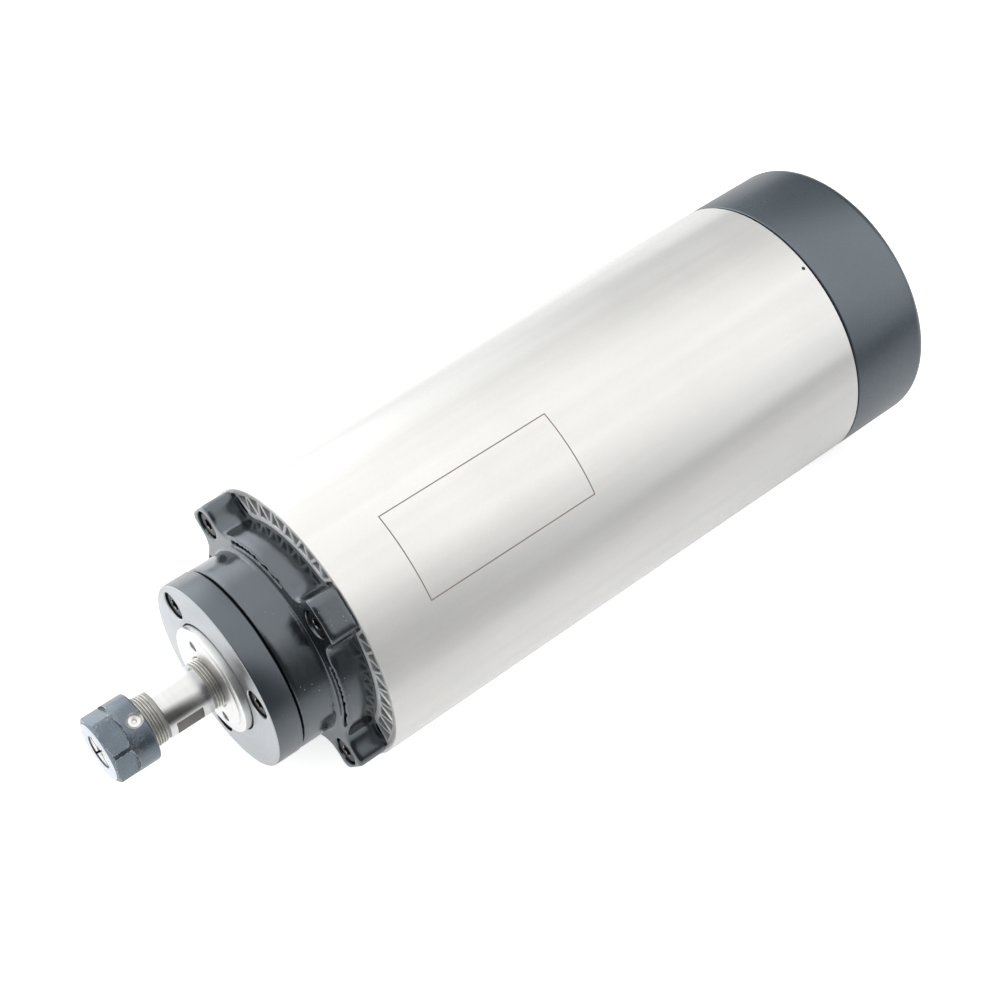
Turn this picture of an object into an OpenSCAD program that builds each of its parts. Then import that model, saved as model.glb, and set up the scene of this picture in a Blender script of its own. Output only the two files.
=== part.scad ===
// Air-cooled motor spindle, lying on its side with the nose towards -Y.
// The spindle axis is Y. The origin is on the axis, half way along the clamped barrel.
// Every revolved outline below is a list of [radius, station] points, the station being Y.

/* [Barrel] */
// Outside diameter of the stainless barrel that a spindle clamp grips
barrel_d = 80; // [80:0.5:84]
// Length of the barrel between the lugged nose casting and the rear cover
barrel_l = 164; // [156:1:200]
// Wall thickness of the barrel tube
sleeve_wall = 1.5; // [1.2:0.1:1.6]
// How far the barrel's front lip stands past the cooling jacket
lip = 0.8; // [0.5:0.1:1.5]

/* [Air channels] */
// Number of zigzag periods round the cooling jacket, a multiple of four
channel_n = 36; // [32:4:40]
// Thickness of the zigzag fins between the triangular channels
fin_t = 1; // [0.8:0.1:1.2]
// Depth of the channels from their inner to their outer wall
channel_h = 4.9; // [4:0.1:5.2]

/* [Nose casting] */
// Angle of the first lug round the axis, up from +X
lug_angle = 54; // [0:1:89]
// Width of a lug
lug_w = 12.8; // [11:0.2:14]
// Radius of the screw circle through the lugs
lug_pcr = 34.2; // [33.8:0.1:34.6]
// Radius of the collar in front of the lugs
collar_r = 26.7; // [26:0.1:27.5]
// Radius of the casting's wall between the lugs
wall_r = 31; // [30.6:0.1:31.4]

/* [Front cap] */
// Radius of the front cap
cap_r = 26.8; // [26:0.1:27.5]
// Thickness of the front cap's flange
cap_t = 7.45; // [7:0.05:8]
// Radius of the cap's screw circle
cap_pcr = 21.1; // [20.6:0.1:21.6]
// Angle of the first cap screw round the axis
cap_angle = 26; // [0:1:119]

/* [Shaft nose] */
// Crest diameter of the fine threads on the shaft
thread_d = 14; // [14:0.1:14.4]
// Diameter of the journal between the two threads
journal_d = 13.8; // [13.6:0.1:13.8]
// Distance across the two wrench flats
flat_af = 13; // [12.4:0.1:13.2]
// Outside radius of the bright lock ring
ring_r = 15.3; // [14.6:0.1:15.4]

/* [Collet and nut] */
// Outside diameter of the collet nut
nut_d = 19; // [18.6:0.1:20]
// Distance across the nut's wrench flats
nut_af = 17; // [16.6:0.1:17.4]
// Length of the nut
nut_l = 12.2; // [12:0.1:12.6]
// Diameter of the tool shank that the collet grips
tool_d = 3.175; // [3:0.005:3.6]
// Width of the collet's slits from the front
slit_w = 0.6; // [0.5:0.1:0.8]
// Width of the collet's slits from the rear
rear_slit_w = 0.4; // [0.3:0.1:0.6]

/* [Rear cover] */
// Length of the rear cover past the barrel
cover_l = 27.7; // [27:0.1:30]
// Radius of the cover's rounded rear edge
cover_round = 3.2; // [2:0.1:4]
// Number of air slots in the cover's end
slot_n = 20; // [16:1:20]

/* [Hidden] */
$fn = 96;

// Running gap of a fit that never moves, and the overlap that keeps a cut clean
fit = 0.02;
cut = 0.5;
lug_count = 4;

// Facets of a small round shape
small_fn = 32;

// Barrel and jacket
barrel_r = barrel_d / 2;
front = -barrel_l / 2;
rear = barrel_l / 2;
jacket_r = barrel_r - sleeve_wall - fit;
jacket_bore_r = 29.5;
jacket_front = front + lip;
jacket_rear = rear - 3;
channel_ro = jacket_r - 1.2;
channel_ri = channel_ro - channel_h;
channel_step = 360 / channel_n;
fin_lean = atan(channel_step * PI / 360 * channel_ri / channel_h);
fin_room = 2 * fin_t / cos(fin_lean);

// Screws, all M4 socket head
screw_r = 2;
screw_head_r = 3.5;
screw_head_h = 4;
socket_af = 3;
socket_depth = 2;
counterbore_r = 4;
counterbore_depth = 4.6;
clearance_r = 2.25;

// Nose casting
lug_face = front - 8.2;
collar_front = front - 18.6;
lug_end_r = barrel_r - 0.6;
lug_corner = 2.5;
lug_root = 5;
lug_foot = 1.4;
bearing_bore_r = 16;
groove_ri = 28.7;
groove_ro = 29.9;
groove_depth = 2.5;
groove_half = 21;

// Front cap and lock ring
cap_rear = collar_front - 0.4;
cap_front = cap_rear - cap_t;
ring_front = cap_front - 2.05;
ring_rear = cap_front + 1.55;
ring_hub_r = 9.6;
ring_pin_circle_r = 10.9;
ring_pin_r = 1.5;
ring_pin_depth = 2.6;
ring_pin_angle = 120;

// Front bearings, two angular contact rows of 15 x 32 x 9
bearing_w = 9;
front_bearing_start = front - 16.6;
front_bearing_end = front_bearing_start + 2 * bearing_w;
front_seat_r = 7.5;
front_pitch_r = 11.75;
front_ball_r = 2.38;
front_ball_n = 12;
front_outer_land_r = 13.4;
front_inner_land_r = 10.1;
front_cage_half_w = 3.4;
cage_half_t = 0.7;

// Rear bearing, one row of 12 x 32 x 10
rear_bearing_w = 10;
rear_bearing_start = rear - 8;
rear_bearing_end = rear_bearing_start + rear_bearing_w;
rear_seat_r = 6;
rear_pitch_r = 11;
rear_ball_r = 2.9;
rear_ball_n = 8;
rear_outer_land_r = 13.3;
rear_inner_land_r = 8.8;
rear_cage_half_w = 3.9;
spring_room = 1.8;
groove_gap = 0.06;

// Stator and rotor
core_half = 45;
stator_r = jacket_bore_r - fit;
stator_bore_r = 18;
stator_slots = 24;
slot_in_r = 19.2;
slot_out_r = 24.6;
slot_in_w = 2.6;
slot_out_w = 3.6;
slot_mouth_w = 1.6;
winding_reach = 17;
winding_ri = 19.2;
winding_ro = 27.4;
rotor_r = 17.5;
end_ring_w = 6;
core_seat_r = 9;

// Shaft nose, collet and nut
shaft_tip = front - 57.2;
thread_end = front - 44.7;
ring_thread_start = front - 31.8;
flat_from = front - 42.8;
flat_to = front - 35;
flat_angle = -2;
thread_r = thread_d / 2;
journal_r = journal_d / 2;
nut_rear = front - 49.5;
nut_front = nut_rear - nut_l;
nut_r = nut_d / 2;
nut_bore_r = thread_r + 0.05;
nut_hex_angle = 6.5;
dimple_y = front - 51.94;
dimple_angle = 69.3;
dimple_r = 2.2;
dimple_depth = 0.9;
taper = tan(8);
nose_taper = tan(30);
collet_front = nut_front + 0.3;
collet_face_r = 4.6;
collet_rim_r = 5.6;
collet_rim_y = collet_front + (collet_rim_r - collet_face_r) / nose_taper;
collet_groove_y = collet_rim_y + 0.7;
collet_groove_r = 4.85;
collet_taper_y = collet_groove_y + 1.2;
collet_taper_r = 5.65;
collet_l = 18;
collet_rear = collet_front + collet_l;
tool_r = tool_d / 2;
seat_gap = 0.03;
shaft_bore_r = 3.6;
shaft_bore_end = front - 24;

// Rear cover and its inlet
cover_front = rear + 0.6;
cover_end = rear + cover_l;
cover_wall = 2.6;
cover_floor = 3;
cover_inner_r = barrel_r - cover_wall;
boss_r = 4.2;
shield_seat = jacket_rear;
shield_lug_t = 6;
shield_lug_w = 10;
shield_rear = shield_seat + shield_lug_t;
shield_hub_r = 20.5;
shield_hub_rear = rear + 6.2;
lead_hole_r = 23.3;
lead_angle = lug_angle + 45;
fan_front = rear + 8.4;
fan_rear = rear + 16.4;
fan_r = 29;
fan_blades = 9;
fan_seat_r = 5;
fan_hub_rear = fan_front + 6.2;
shaft_end = fan_hub_rear + 1.8;
receptacle_r = 8;
receptacle_bore_r = 6.9;
receptacle_mouth = cover_end + 8.8;
receptacle_back = cover_end - 5;
pin_circle_r = 3.6;
pin_r = 0.9;
pin_back = cover_end - 4.6;
pin_tip = receptacle_mouth - 2.5;
insulator_front = cover_end + 1.3;
lead_r = 0.85;

// Colours
STAINLESS = [0.86, 0.85, 0.83];
ALUMINIUM = [0.66, 0.67, 0.68];
BLACK_PAINT = [0.13, 0.14, 0.15];
DARK_ANODISE = [0.36, 0.39, 0.42];
BLACK_OXIDE = [0.27, 0.30, 0.34];
GROUND_STEEL = [0.78, 0.78, 0.77];
SCREW_BLACK = [0.10, 0.10, 0.11];
LAMINATION = [0.42, 0.43, 0.45];
COPPER = [0.72, 0.38, 0.20];
BLACK_PLASTIC = [0.06, 0.06, 0.07];
BRASS = [0.78, 0.64, 0.32];
LEAD_RED = [0.55, 0.10, 0.08];

// Turns a shape drawn along +Z so that it runs along +Y
module lie() {
    rotate([-90, 0, 0]) children();
}

// Stands a shape, drawn along +Z, at an angle and a radius round the axis
module around(angle, radius) {
    rotate([0, 0, -angle]) translate([radius, 0, 0]) children();
}

// A solid disc from one station to another
module disc(r, y0, y1) {
    translate([0, 0, y0]) cylinder(r = r, h = y1 - y0);
}

// A ring or tube from one station to another
module tube(ro, ri, y0, y1) {
    difference() {
        disc(ro, y0, y1);
        disc(ri, y0 - cut, y1 + cut);
    }
}

// One M4 socket head screw: head towards -Z, seat at the origin, shank towards +Z
module socket_screw(length) {
    difference() {
        union() {
            translate([0, 0, -screw_head_h]) cylinder(r = screw_head_r, h = screw_head_h);
            cylinder(r = screw_r - fit, h = length);
        }
        translate([0, 0, -screw_head_h - cut])
            cylinder(r = socket_af / sqrt(3), h = socket_depth + cut, $fn = 6);
    }
}

// The counterbored hole of one M4 screw, head towards -Z, seat at the origin
module screw_hole(length) {
    translate([0, 0, -counterbore_depth - cut]) cylinder(r = counterbore_r, h = counterbore_depth + cut);
    cylinder(r = clearance_r, h = length);
}

// Outer sleeve: thin stainless tube with eased edges
module outer_sleeve() {
    ease = 0.25;
    ri = barrel_r - sleeve_wall;
    color(STAINLESS) lie() rotate_extrude() polygon([
        [ri, front], [barrel_r - ease, front], [barrel_r, front + ease],
        [barrel_r, rear - ease], [barrel_r - ease, rear], [ri, rear]
    ]);
}

// One triangular channel: its base lies on base_r and its point on tip_r
module channel(base_r, tip_r, base_w) {
    polygon([[base_r, -base_w / 2], [base_r, base_w / 2], [tip_r, 0]]);
}

// The zigzag ring of channels, left solid where the lug screws enter the jacket
module channel_ring() {
    per_lug = channel_n / lug_count;
    inner_w = 2 * PI * channel_ri / channel_n - fin_room;
    outer_w = 2 * PI * channel_ro / channel_n - fin_room;
    for (i = [0 : channel_n - 1]) {
        angle = lug_angle + i * channel_step;
        if (i % per_lug != 0)
            rotate([0, 0, -angle]) channel(channel_ri, channel_ro, inner_w);
        if (i % per_lug != 0 && i % per_lug != per_lug - 1)
            rotate([0, 0, -angle - channel_step / 2]) channel(channel_ro, channel_ri, outer_w);
    }
}

// Cooling jacket: extrusion with the air channels and four tapped bosses at each end
module cooling_jacket() {
    tap_depth = 15;
    color(ALUMINIUM) lie() difference() {
        translate([0, 0, jacket_front]) linear_extrude(height = jacket_rear - jacket_front) difference() {
            circle(r = jacket_r);
            circle(r = jacket_bore_r);
            channel_ring();
        }
        for (i = [0 : lug_count - 1]) around(lug_angle + i * 90, lug_pcr) {
            translate([0, 0, jacket_front - cut]) cylinder(r = screw_r, h = tap_depth + cut);
            translate([0, 0, jacket_rear - tap_depth]) cylinder(r = screw_r, h = tap_depth + cut);
        }
    }
}

// Outline of one stator slot, shrunk all round by a margin
module slot_outline(margin) {
    w_in = slot_in_w / 2 - margin;
    w_out = slot_out_w / 2 - margin;
    polygon([
        [slot_in_r + margin, -w_in], [slot_in_r + margin, w_in],
        [slot_out_r, w_out], [slot_out_r, -w_out]
    ]);
    translate([slot_out_r, 0]) circle(r = w_out, $fn = small_fn);
}

// Stator core: stack of slotted laminations
module stator_core() {
    color(LAMINATION) lie() translate([0, 0, -core_half])
        linear_extrude(height = 2 * core_half) difference() {
        circle(r = stator_r);
        circle(r = stator_bore_r);
        for (i = [0 : stator_slots - 1]) rotate([0, 0, i * 360 / stator_slots]) {
            slot_outline(0);
            translate([stator_bore_r - cut, -slot_mouth_w / 2])
                square([slot_in_r - stator_bore_r + 2 * cut, slot_mouth_w]);
        }
    }
}

// Rounded outline of one bundle of end turns, starting at the face of the core
module end_turn_outline() {
    ease = 3;
    translate([winding_ri, 0]) square([winding_ro - winding_ri, winding_reach - ease]);
    translate([winding_ri + ease, 0]) square([winding_ro - winding_ri - 2 * ease, winding_reach]);
    for (r = [winding_ri + ease, winding_ro - ease]) translate([r, winding_reach - ease]) circle(r = ease);
}

// Stator windings: the bars in the slots and the end turns at both ends
module stator_windings() {
    gap = 0.1;
    color(COPPER) lie() {
        translate([0, 0, -core_half - gap]) linear_extrude(height = 2 * (core_half + gap))
            for (i = [0 : stator_slots - 1]) rotate([0, 0, i * 360 / stator_slots]) slot_outline(gap);
        for (side = [0, 1]) mirror([0, 0, side]) translate([0, 0, core_half + gap])
            rotate_extrude() end_turn_outline();
    }
}

// Flat outline of one lug along +X: rounded outer corners and hollow root curves
module lug_outline(end_r, width, root_r) {
    half = width / 2;
    inside_r = root_r - 8;
    crossing = 0.15;
    corner_u = sqrt(pow(end_r - lug_corner, 2) - pow(half - lug_corner, 2));
    end_half = (half - lug_corner) * end_r / (end_r - lug_corner);
    root_v = half + lug_root;
    root_reach = root_r + lug_root - crossing;
    root_u = sqrt(pow(root_reach, 2) - pow(root_v, 2));
    touch = (root_r - 3) / root_reach;
    difference() {
        union() {
            translate([inside_r, -half]) square([corner_u - inside_r, width]);
            intersection() {
                translate([inside_r, -end_half]) square([end_r, 2 * end_half]);
                circle(r = end_r);
            }
            for (v = [half - lug_corner, lug_corner - half]) translate([corner_u, v]) circle(r = lug_corner);
            polygon([
                [inside_r, -half], [root_u * touch, -root_v * touch], [root_u, -root_v], [root_u, root_v],
                [root_u * touch, root_v * touch], [inside_r, half]
            ]);
        }
        for (v = [root_v, -root_v]) translate([root_u, v]) circle(r = lug_root);
    }
}

// One arc groove in the casting's front face, half way between two lugs
module arc_groove() {
    mid_r = (groove_ri + groove_ro) / 2;
    end_r = (groove_ro - groove_ri) / 2 - 2 * fit;
    reach = groove_ro * 1.2;
    intersection() {
        tube(groove_ro, groove_ri, lug_face - cut, lug_face + groove_depth);
        translate([0, 0, lug_face - 2 * cut]) linear_extrude(height = groove_depth + 3 * cut) polygon([
            [0, 0], [reach, -reach * tan(groove_half)], [reach, reach * tan(groove_half)]
        ]);
    }
    for (side = [-1, 1]) around(side * groove_half, mid_r) translate([0, 0, lug_face - cut])
        cylinder(r = end_r, h = groove_depth + cut);
}

// Front housing: lugged casting that carries the two front bearings
module front_housing() {
    ease = 0.5;
    wall_ease = 1;
    spigot_end = jacket_front + 6;
    pocket_ro = 26;
    pocket_ri = 20.5;
    shoulder_r = 13.5;
    shoulder_end = front_bearing_end + 3;
    pocket_front = jacket_front - 2.8;
    foot_r = jacket_r - 4 * fit;
    hole_l = 10;
    tap_depth = 12;
    color(BLACK_PAINT) lie() difference() {
        union() {
            rotate_extrude() polygon([
                [bearing_bore_r, collar_front], [collar_r - ease, collar_front],
                [collar_r, collar_front + ease], [collar_r, lug_face], [wall_r - wall_ease, lug_face],
                [wall_r, lug_face + wall_ease], [wall_r, jacket_front], [stator_r, jacket_front],
                [stator_r, spigot_end], [pocket_ro, spigot_end], [pocket_ro, pocket_front],
                [pocket_ri, pocket_front],
                [pocket_ri, shoulder_end], [shoulder_r, shoulder_end], [shoulder_r, front_bearing_end],
                [bearing_bore_r, front_bearing_end]
            ]);
            for (i = [0 : lug_count - 1]) rotate([0, 0, -lug_angle - i * 90])
                translate([0, 0, lug_face]) linear_extrude(height = jacket_front - lug_face)
                    difference() {
                        lug_outline(lug_end_r, lug_w, wall_r);
                        circle(r = wall_r - lug_foot);
                    }
        }
        for (i = [0 : lug_count - 1]) rotate([0, 0, -lug_angle - i * 90]) {
            rotate([0, 0, -45]) arc_groove();
            translate([lug_pcr, 0, lug_face + counterbore_depth]) screw_hole(hole_l);
        }
        for (i = [0 : 2]) around(cap_angle + i * 120, cap_pcr)
            translate([0, 0, collar_front - cut]) cylinder(r = screw_r, h = tap_depth + cut);
        tube(barrel_r, foot_r, front - fit, jacket_front + cut);
    }
}

// Housing screws: one in each lug
module housing_screws() {
    length = 14;
    color(SCREW_BLACK) lie() for (i = [0 : lug_count - 1]) around(lug_angle + i * 90, lug_pcr)
        translate([0, 0, lug_face + counterbore_depth]) socket_screw(length);
}

// Front cap: bolted disc whose spigot holds the front bearings in
module front_cap() {
    ease = 0.4;
    recess_r = 15.7;
    recess_end = ring_rear + 0.5;
    hole_r = ring_hub_r + 0.4;
    spigot_r = bearing_bore_r - fit;
    relief_r = hole_r + 2.4;
    relief_t = 1;
    hole_l = 8;
    color(DARK_ANODISE) lie() difference() {
        rotate_extrude() polygon([
            [recess_r, cap_front], [cap_r - ease, cap_front], [cap_r, cap_front + ease],
            [cap_r, cap_rear - ease], [cap_r - ease, cap_rear], [spigot_r, cap_rear],
            [spigot_r, front_bearing_start], [relief_r, front_bearing_start],
            [relief_r, front_bearing_start - relief_t], [hole_r, cap_rear], [hole_r, recess_end],
            [recess_r, recess_end]
        ]);
        for (i = [0 : 2]) around(cap_angle + i * 120, cap_pcr)
            translate([0, 0, cap_front + counterbore_depth]) screw_hole(hole_l);
    }
}

// Front cap screws
module front_cap_screws() {
    length = 12;
    color(SCREW_BLACK) lie() for (i = [0 : 2]) around(cap_angle + i * 120, cap_pcr)
        translate([0, 0, cap_front + counterbore_depth]) socket_screw(length);
}

// Ring of a ball bearing: a plain ring with a ball groove turned into it
module bearing_ring(ro, ri, start, width, pitch_r, ball_r) {
    ease = 0.3;
    mid = start + width / 2;
    rotate_extrude() difference() {
        polygon([
            [ri, start + ease], [ri + ease, start], [ro - ease, start], [ro, start + ease],
            [ro, start + width - ease], [ro - ease, start + width], [ri + ease, start + width],
            [ri, start + width - ease]
        ]);
        translate([pitch_r, mid]) circle(r = ball_r + groove_gap);
    }
}

// Front bearings, outer rings
module front_bearing_outer_rings() {
    color(GROUND_STEEL) lie() for (i = [0, 1])
        bearing_ring(bearing_bore_r - fit, front_outer_land_r, front_bearing_start + i * bearing_w,
            bearing_w - fit, front_pitch_r, front_ball_r);
}

// Front bearings, inner rings
module front_bearing_inner_rings() {
    color(GROUND_STEEL) lie() for (i = [0, 1])
        bearing_ring(front_inner_land_r, front_seat_r + fit, front_bearing_start + i * bearing_w,
            bearing_w - fit, front_pitch_r, front_ball_r);
}

// A ring of balls in one row
module ball_row(count, pitch_r, ball_r, mid) {
    for (i = [0 : count - 1]) around(i * 360 / count, pitch_r)
        translate([0, 0, mid]) sphere(r = ball_r, $fn = small_fn);
}

// A cage with a round pocket for every ball
module ball_cage(count, pitch_r, ball_r, mid, half_w, half_t) {
    difference() {
        tube(pitch_r + half_t, pitch_r - half_t, mid - half_w, mid + half_w);
        for (i = [0 : count - 1]) rotate([0, 0, -i * 360 / count]) translate([pitch_r - half_t - 1, 0, mid])
            rotate([0, 90, 0]) cylinder(r = ball_r + groove_gap, h = 2 * half_t + 2, $fn = small_fn);
    }
}

// Front bearings, both rows of balls
module front_bearing_balls() {
    color(GROUND_STEEL) lie() for (i = [0, 1])
        ball_row(front_ball_n, front_pitch_r, front_ball_r, front_bearing_start + (i + 0.5) * bearing_w);
}

// Front bearings, both cages
module front_bearing_cages() {
    color(BRASS) lie() for (i = [0, 1])
        ball_cage(front_ball_n, front_pitch_r, front_ball_r, front_bearing_start + (i + 0.5) * bearing_w,
            front_cage_half_w, cage_half_t);
}

// Rear bearing, outer ring
module rear_bearing_outer_ring() {
    color(GROUND_STEEL) lie()
        bearing_ring(bearing_bore_r - fit, rear_outer_land_r, rear_bearing_start, rear_bearing_w,
            rear_pitch_r, rear_ball_r);
}

// Rear bearing, inner ring
module rear_bearing_inner_ring() {
    color(GROUND_STEEL) lie()
        bearing_ring(rear_inner_land_r, rear_seat_r + fit, rear_bearing_start, rear_bearing_w, rear_pitch_r,
            rear_ball_r);
}

// Rear bearing, balls
module rear_bearing_balls() {
    color(GROUND_STEEL) lie()
        ball_row(rear_ball_n, rear_pitch_r, rear_ball_r, rear_bearing_start + rear_bearing_w / 2);
}

// Rear bearing, cage
module rear_bearing_cage() {
    color(BRASS) lie()
        ball_cage(rear_ball_n, rear_pitch_r, rear_ball_r, rear_bearing_start + rear_bearing_w / 2,
            rear_cage_half_w, cage_half_t);
}

// Rear shield: carries the rear bearing and is clamped to the jacket under the cover
module rear_shield() {
    spigot_front = shield_seat - 6;
    disc_rear = shield_seat + 5;
    pocket_ro = 26;
    pocket_rear = shield_seat + 1;
    spring_end = rear_bearing_end + spring_room;
    hole_r = 9.2;
    lug_end = cover_inner_r - 0.3;
    lead_hole = 2.6;
    color(ALUMINIUM) lie() difference() {
        union() {
            rotate_extrude() polygon([
                [bearing_bore_r, spigot_front], [shield_hub_r, spigot_front], [shield_hub_r, pocket_rear],
                [pocket_ro, pocket_rear], [pocket_ro, spigot_front], [stator_r, spigot_front],
                [stator_r, shield_seat], [wall_r, shield_seat], [wall_r, disc_rear],
                [shield_hub_r, disc_rear], [shield_hub_r, shield_hub_rear], [hole_r, shield_hub_rear],
                [hole_r, spring_end], [bearing_bore_r, spring_end]
            ]);
            for (i = [0 : lug_count - 1]) rotate([0, 0, -lug_angle - i * 90])
                translate([0, 0, shield_seat]) linear_extrude(height = shield_lug_t) difference() {
                    lug_outline(lug_end, shield_lug_w, wall_r);
                    circle(r = wall_r - lug_foot);
                }
        }
        for (i = [0 : lug_count - 1]) around(lug_angle + i * 90, lug_pcr)
            translate([0, 0, shield_seat - cut]) cylinder(r = clearance_r, h = shield_lug_t + 2 * cut);
        around(lead_angle, lead_hole_r)
            translate([0, 0, spigot_front]) cylinder(r = lead_hole, h = shield_hub_rear - spigot_front);
    }
}

// Corner k of the wave spring's square section at an angle round the ring
function spring_point(angle, k) = let (
    ri = 12.8,
    ro = 15.7,
    thick = 0.4,
    swing = 0.69,
    mid = rear_bearing_end + spring_room / 2,
    r = (k == 0 || k == 3) ? ri : ro,
    y = mid + swing * cos(4 * angle) + (k < 2 ? -thick / 2 : thick / 2)
) [r * cos(angle), r * sin(angle), y];

// Preload spring: a wavy washer behind the rear bearing's outer ring
module preload_spring() {
    n = 64;
    points = [for (i = [0 : n - 1]) for (k = [0 : 3]) spring_point(i * 360 / n, k)];
    faces = [for (i = [0 : n - 1]) for (k = [0 : 3])
        let (j = (i + 1) % n, m = (k + 1) % 4) [4 * i + k, 4 * i + m, 4 * j + m, 4 * j + k]];
    color(GROUND_STEEL) lie() polyhedron(points = points, faces = faces, convexity = 4);
}

// One air slot of the rear cover, along +X
module air_slot() {
    half = 1.5;
    from_r = 16.5;
    to_r = 29;
    translate([0, 0, cover_end - cover_floor - cut]) linear_extrude(height = cover_floor + 2 * cut) {
        translate([from_r, -half]) square([to_r - from_r, 2 * half]);
        translate([from_r, 0]) circle(r = half);
        translate([to_r, 0]) circle(r = half);
    }
}

// Rear cover: cup with a rounded edge, an air grille and four screw bosses
module rear_cover() {
    floor_y = cover_end - cover_floor;
    lip_ro = barrel_r - sleeve_wall - 2 * fit;
    lip_front = jacket_rear + 0.3;
    lead_in = 0.3;
    color(DARK_ANODISE) lie() difference() {
        union() {
            difference() {
                rotate_extrude() {
                    polygon([
                        [0, cover_front], [barrel_r - lead_in, cover_front],
                        [barrel_r, cover_front + lead_in], [barrel_r, cover_end - cover_round],
                        [0, cover_end - cover_round]
                    ]);
                    translate([0, cover_front]) square([barrel_r - cover_round, cover_end - cover_front]);
                    translate([barrel_r - cover_round, cover_end - cover_round]) circle(r = cover_round);
                }
                disc(cover_inner_r, cover_front - cut, floor_y);
            }
            tube(lip_ro, cover_inner_r, lip_front, cover_front + cut);
            for (i = [0 : lug_count - 1]) around(lug_angle + i * 90, lug_pcr)
                translate([0, 0, shield_rear]) cylinder(r = boss_r, h = floor_y - shield_rear + cut);
        }
        disc(receptacle_r + 0.1, floor_y - cut, cover_end + cut);
        for (i = [0 : slot_n - 1]) rotate([0, 0, -lug_angle - i * 360 / slot_n]) air_slot();
        for (i = [0 : lug_count - 1]) around(lug_angle + i * 90, lug_pcr) {
            translate([0, 0, shield_rear - cut]) cylinder(r = clearance_r, h = cover_end - shield_rear);
            translate([0, 0, cover_end - counterbore_depth])
                cylinder(r = counterbore_r, h = counterbore_depth + cut);
        }
    }
}

// Rear cover screws: long screws through the cover and shield into the jacket
module rear_cover_screws() {
    seat = cover_end - counterbore_depth;
    grip = 11;
    color(SCREW_BLACK) lie() for (i = [0 : lug_count - 1]) around(lug_angle + i * 90, lug_pcr)
        translate([0, 0, seat]) mirror([0, 0, 1]) socket_screw(seat - jacket_rear + grip);
}

// Receptacle shell: threaded barrel with a flange behind the cover's end and a key in its mouth
module receptacle_shell() {
    flange_r = 9.6;
    flange_t = 1.6;
    floor_y = cover_end - cover_floor;
    relief_r = 7.5;
    relief_from = cover_end + 2.5;
    relief_to = cover_end + 3.3;
    key_half = 0.7;
    key_l = 4.2;
    ease = 0.4;
    color(GROUND_STEEL) lie() union() {
        rotate_extrude() polygon([
            [receptacle_bore_r, receptacle_back], [receptacle_r, receptacle_back],
            [receptacle_r, floor_y - flange_t], [flange_r, floor_y - flange_t], [flange_r, floor_y],
            [receptacle_r, floor_y], [receptacle_r, relief_from], [relief_r, relief_from],
            [relief_r, relief_to], [receptacle_r, relief_to], [receptacle_r, receptacle_mouth - ease],
            [receptacle_r - ease, receptacle_mouth], [receptacle_bore_r, receptacle_mouth]
        ]);
        translate([receptacle_bore_r - key_half, -key_half, insulator_front]) cube([1, 2 * key_half, key_l]);
    }
}

// Receptacle nut on the outside of the cover
module receptacle_nut() {
    nut_t = 2.4;
    across = 18;
    color(GROUND_STEEL) lie() translate([0, 0, cover_end]) difference() {
        cylinder(r = across / sqrt(3), h = nut_t, $fn = 6);
        translate([0, 0, -cut]) cylinder(r = receptacle_r + fit, h = nut_t + 2 * cut);
    }
}

// Receptacle insulator
module receptacle_insulator() {
    back = cover_end - 4;
    color(BLACK_PLASTIC) lie() difference() {
        disc(receptacle_bore_r - fit, back, insulator_front);
        for (i = [0 : 3]) around(lead_angle + i * 90 + 45, pin_circle_r)
            translate([0, 0, back - cut])
                cylinder(r = pin_r + fit, h = insulator_front - back + 2 * cut, $fn = small_fn);
    }
}

// Receptacle pins: four round pins with solder cups behind
module receptacle_pins() {
    cup_r = 0.65;
    color(BRASS) lie() for (i = [0 : 3]) around(lead_angle + i * 90 + 45, pin_circle_r) difference() {
        union() {
            disc(pin_r, pin_back, pin_tip - pin_r);
            translate([0, 0, pin_tip - pin_r]) sphere(r = pin_r, $fn = small_fn);
        }
        disc(cup_r, pin_back - cut, pin_back + 1.2);
    }
}

// Corner points of lead k, as [distance out, distance across, station] in the lead hole's direction.
// Leads lie two by two: the inner pair runs to the far pins and the outer pair to the near ones.
function lead_route(k) = let (
    side = (k % 2 == 0) ? -1 : 1,
    row = (k < 2) ? -1 : 1,
    out = lead_hole_r + row,
    cross_y = shield_rear + 2.2 - row,
    rim = 33.6 + row,
    back_y = pin_back - 2.9 + row,
    pin_u = row * pin_circle_r * cos(45),
    pin_v = side * pin_circle_r * sin(45)
) [
    [out, side, core_half + winding_reach + 0.2], [out, side, cross_y], [rim, side, cross_y],
    [rim, side, back_y], [pin_u, pin_v, back_y], [pin_u, pin_v, pin_back - 0.1]
];

// Rounds the corners of a route: each inner point becomes a short curve of steps + 1 points
function rounded(points, ease, steps) = [
    points[0],
    for (i = [1 : len(points) - 2]) let (
        a = points[i] + ease * (points[i - 1] - points[i]) / norm(points[i - 1] - points[i]),
        b = points[i] + ease * (points[i + 1] - points[i]) / norm(points[i + 1] - points[i])
    ) for (s = [0 : steps]) let (t = s / steps)
        (1 - t) * (1 - t) * a + 2 * t * (1 - t) * points[i] + t * t * b,
    points[len(points) - 1]
];

// Ring of side points round one point of a path
function path_ring(path, i, r, sides) = let (
    before = path[max(i - 1, 0)],
    after = path[min(i + 1, len(path) - 1)],
    along = (after - before) / norm(after - before),
    flat = cross(along, [1, 0.11, 0.07]),
    u = flat / norm(flat),
    v = cross(along, u)
) [for (k = [0 : sides - 1]) path[i] + r * (u * cos(k * 360 / sides) + v * sin(k * 360 / sides))];

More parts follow.
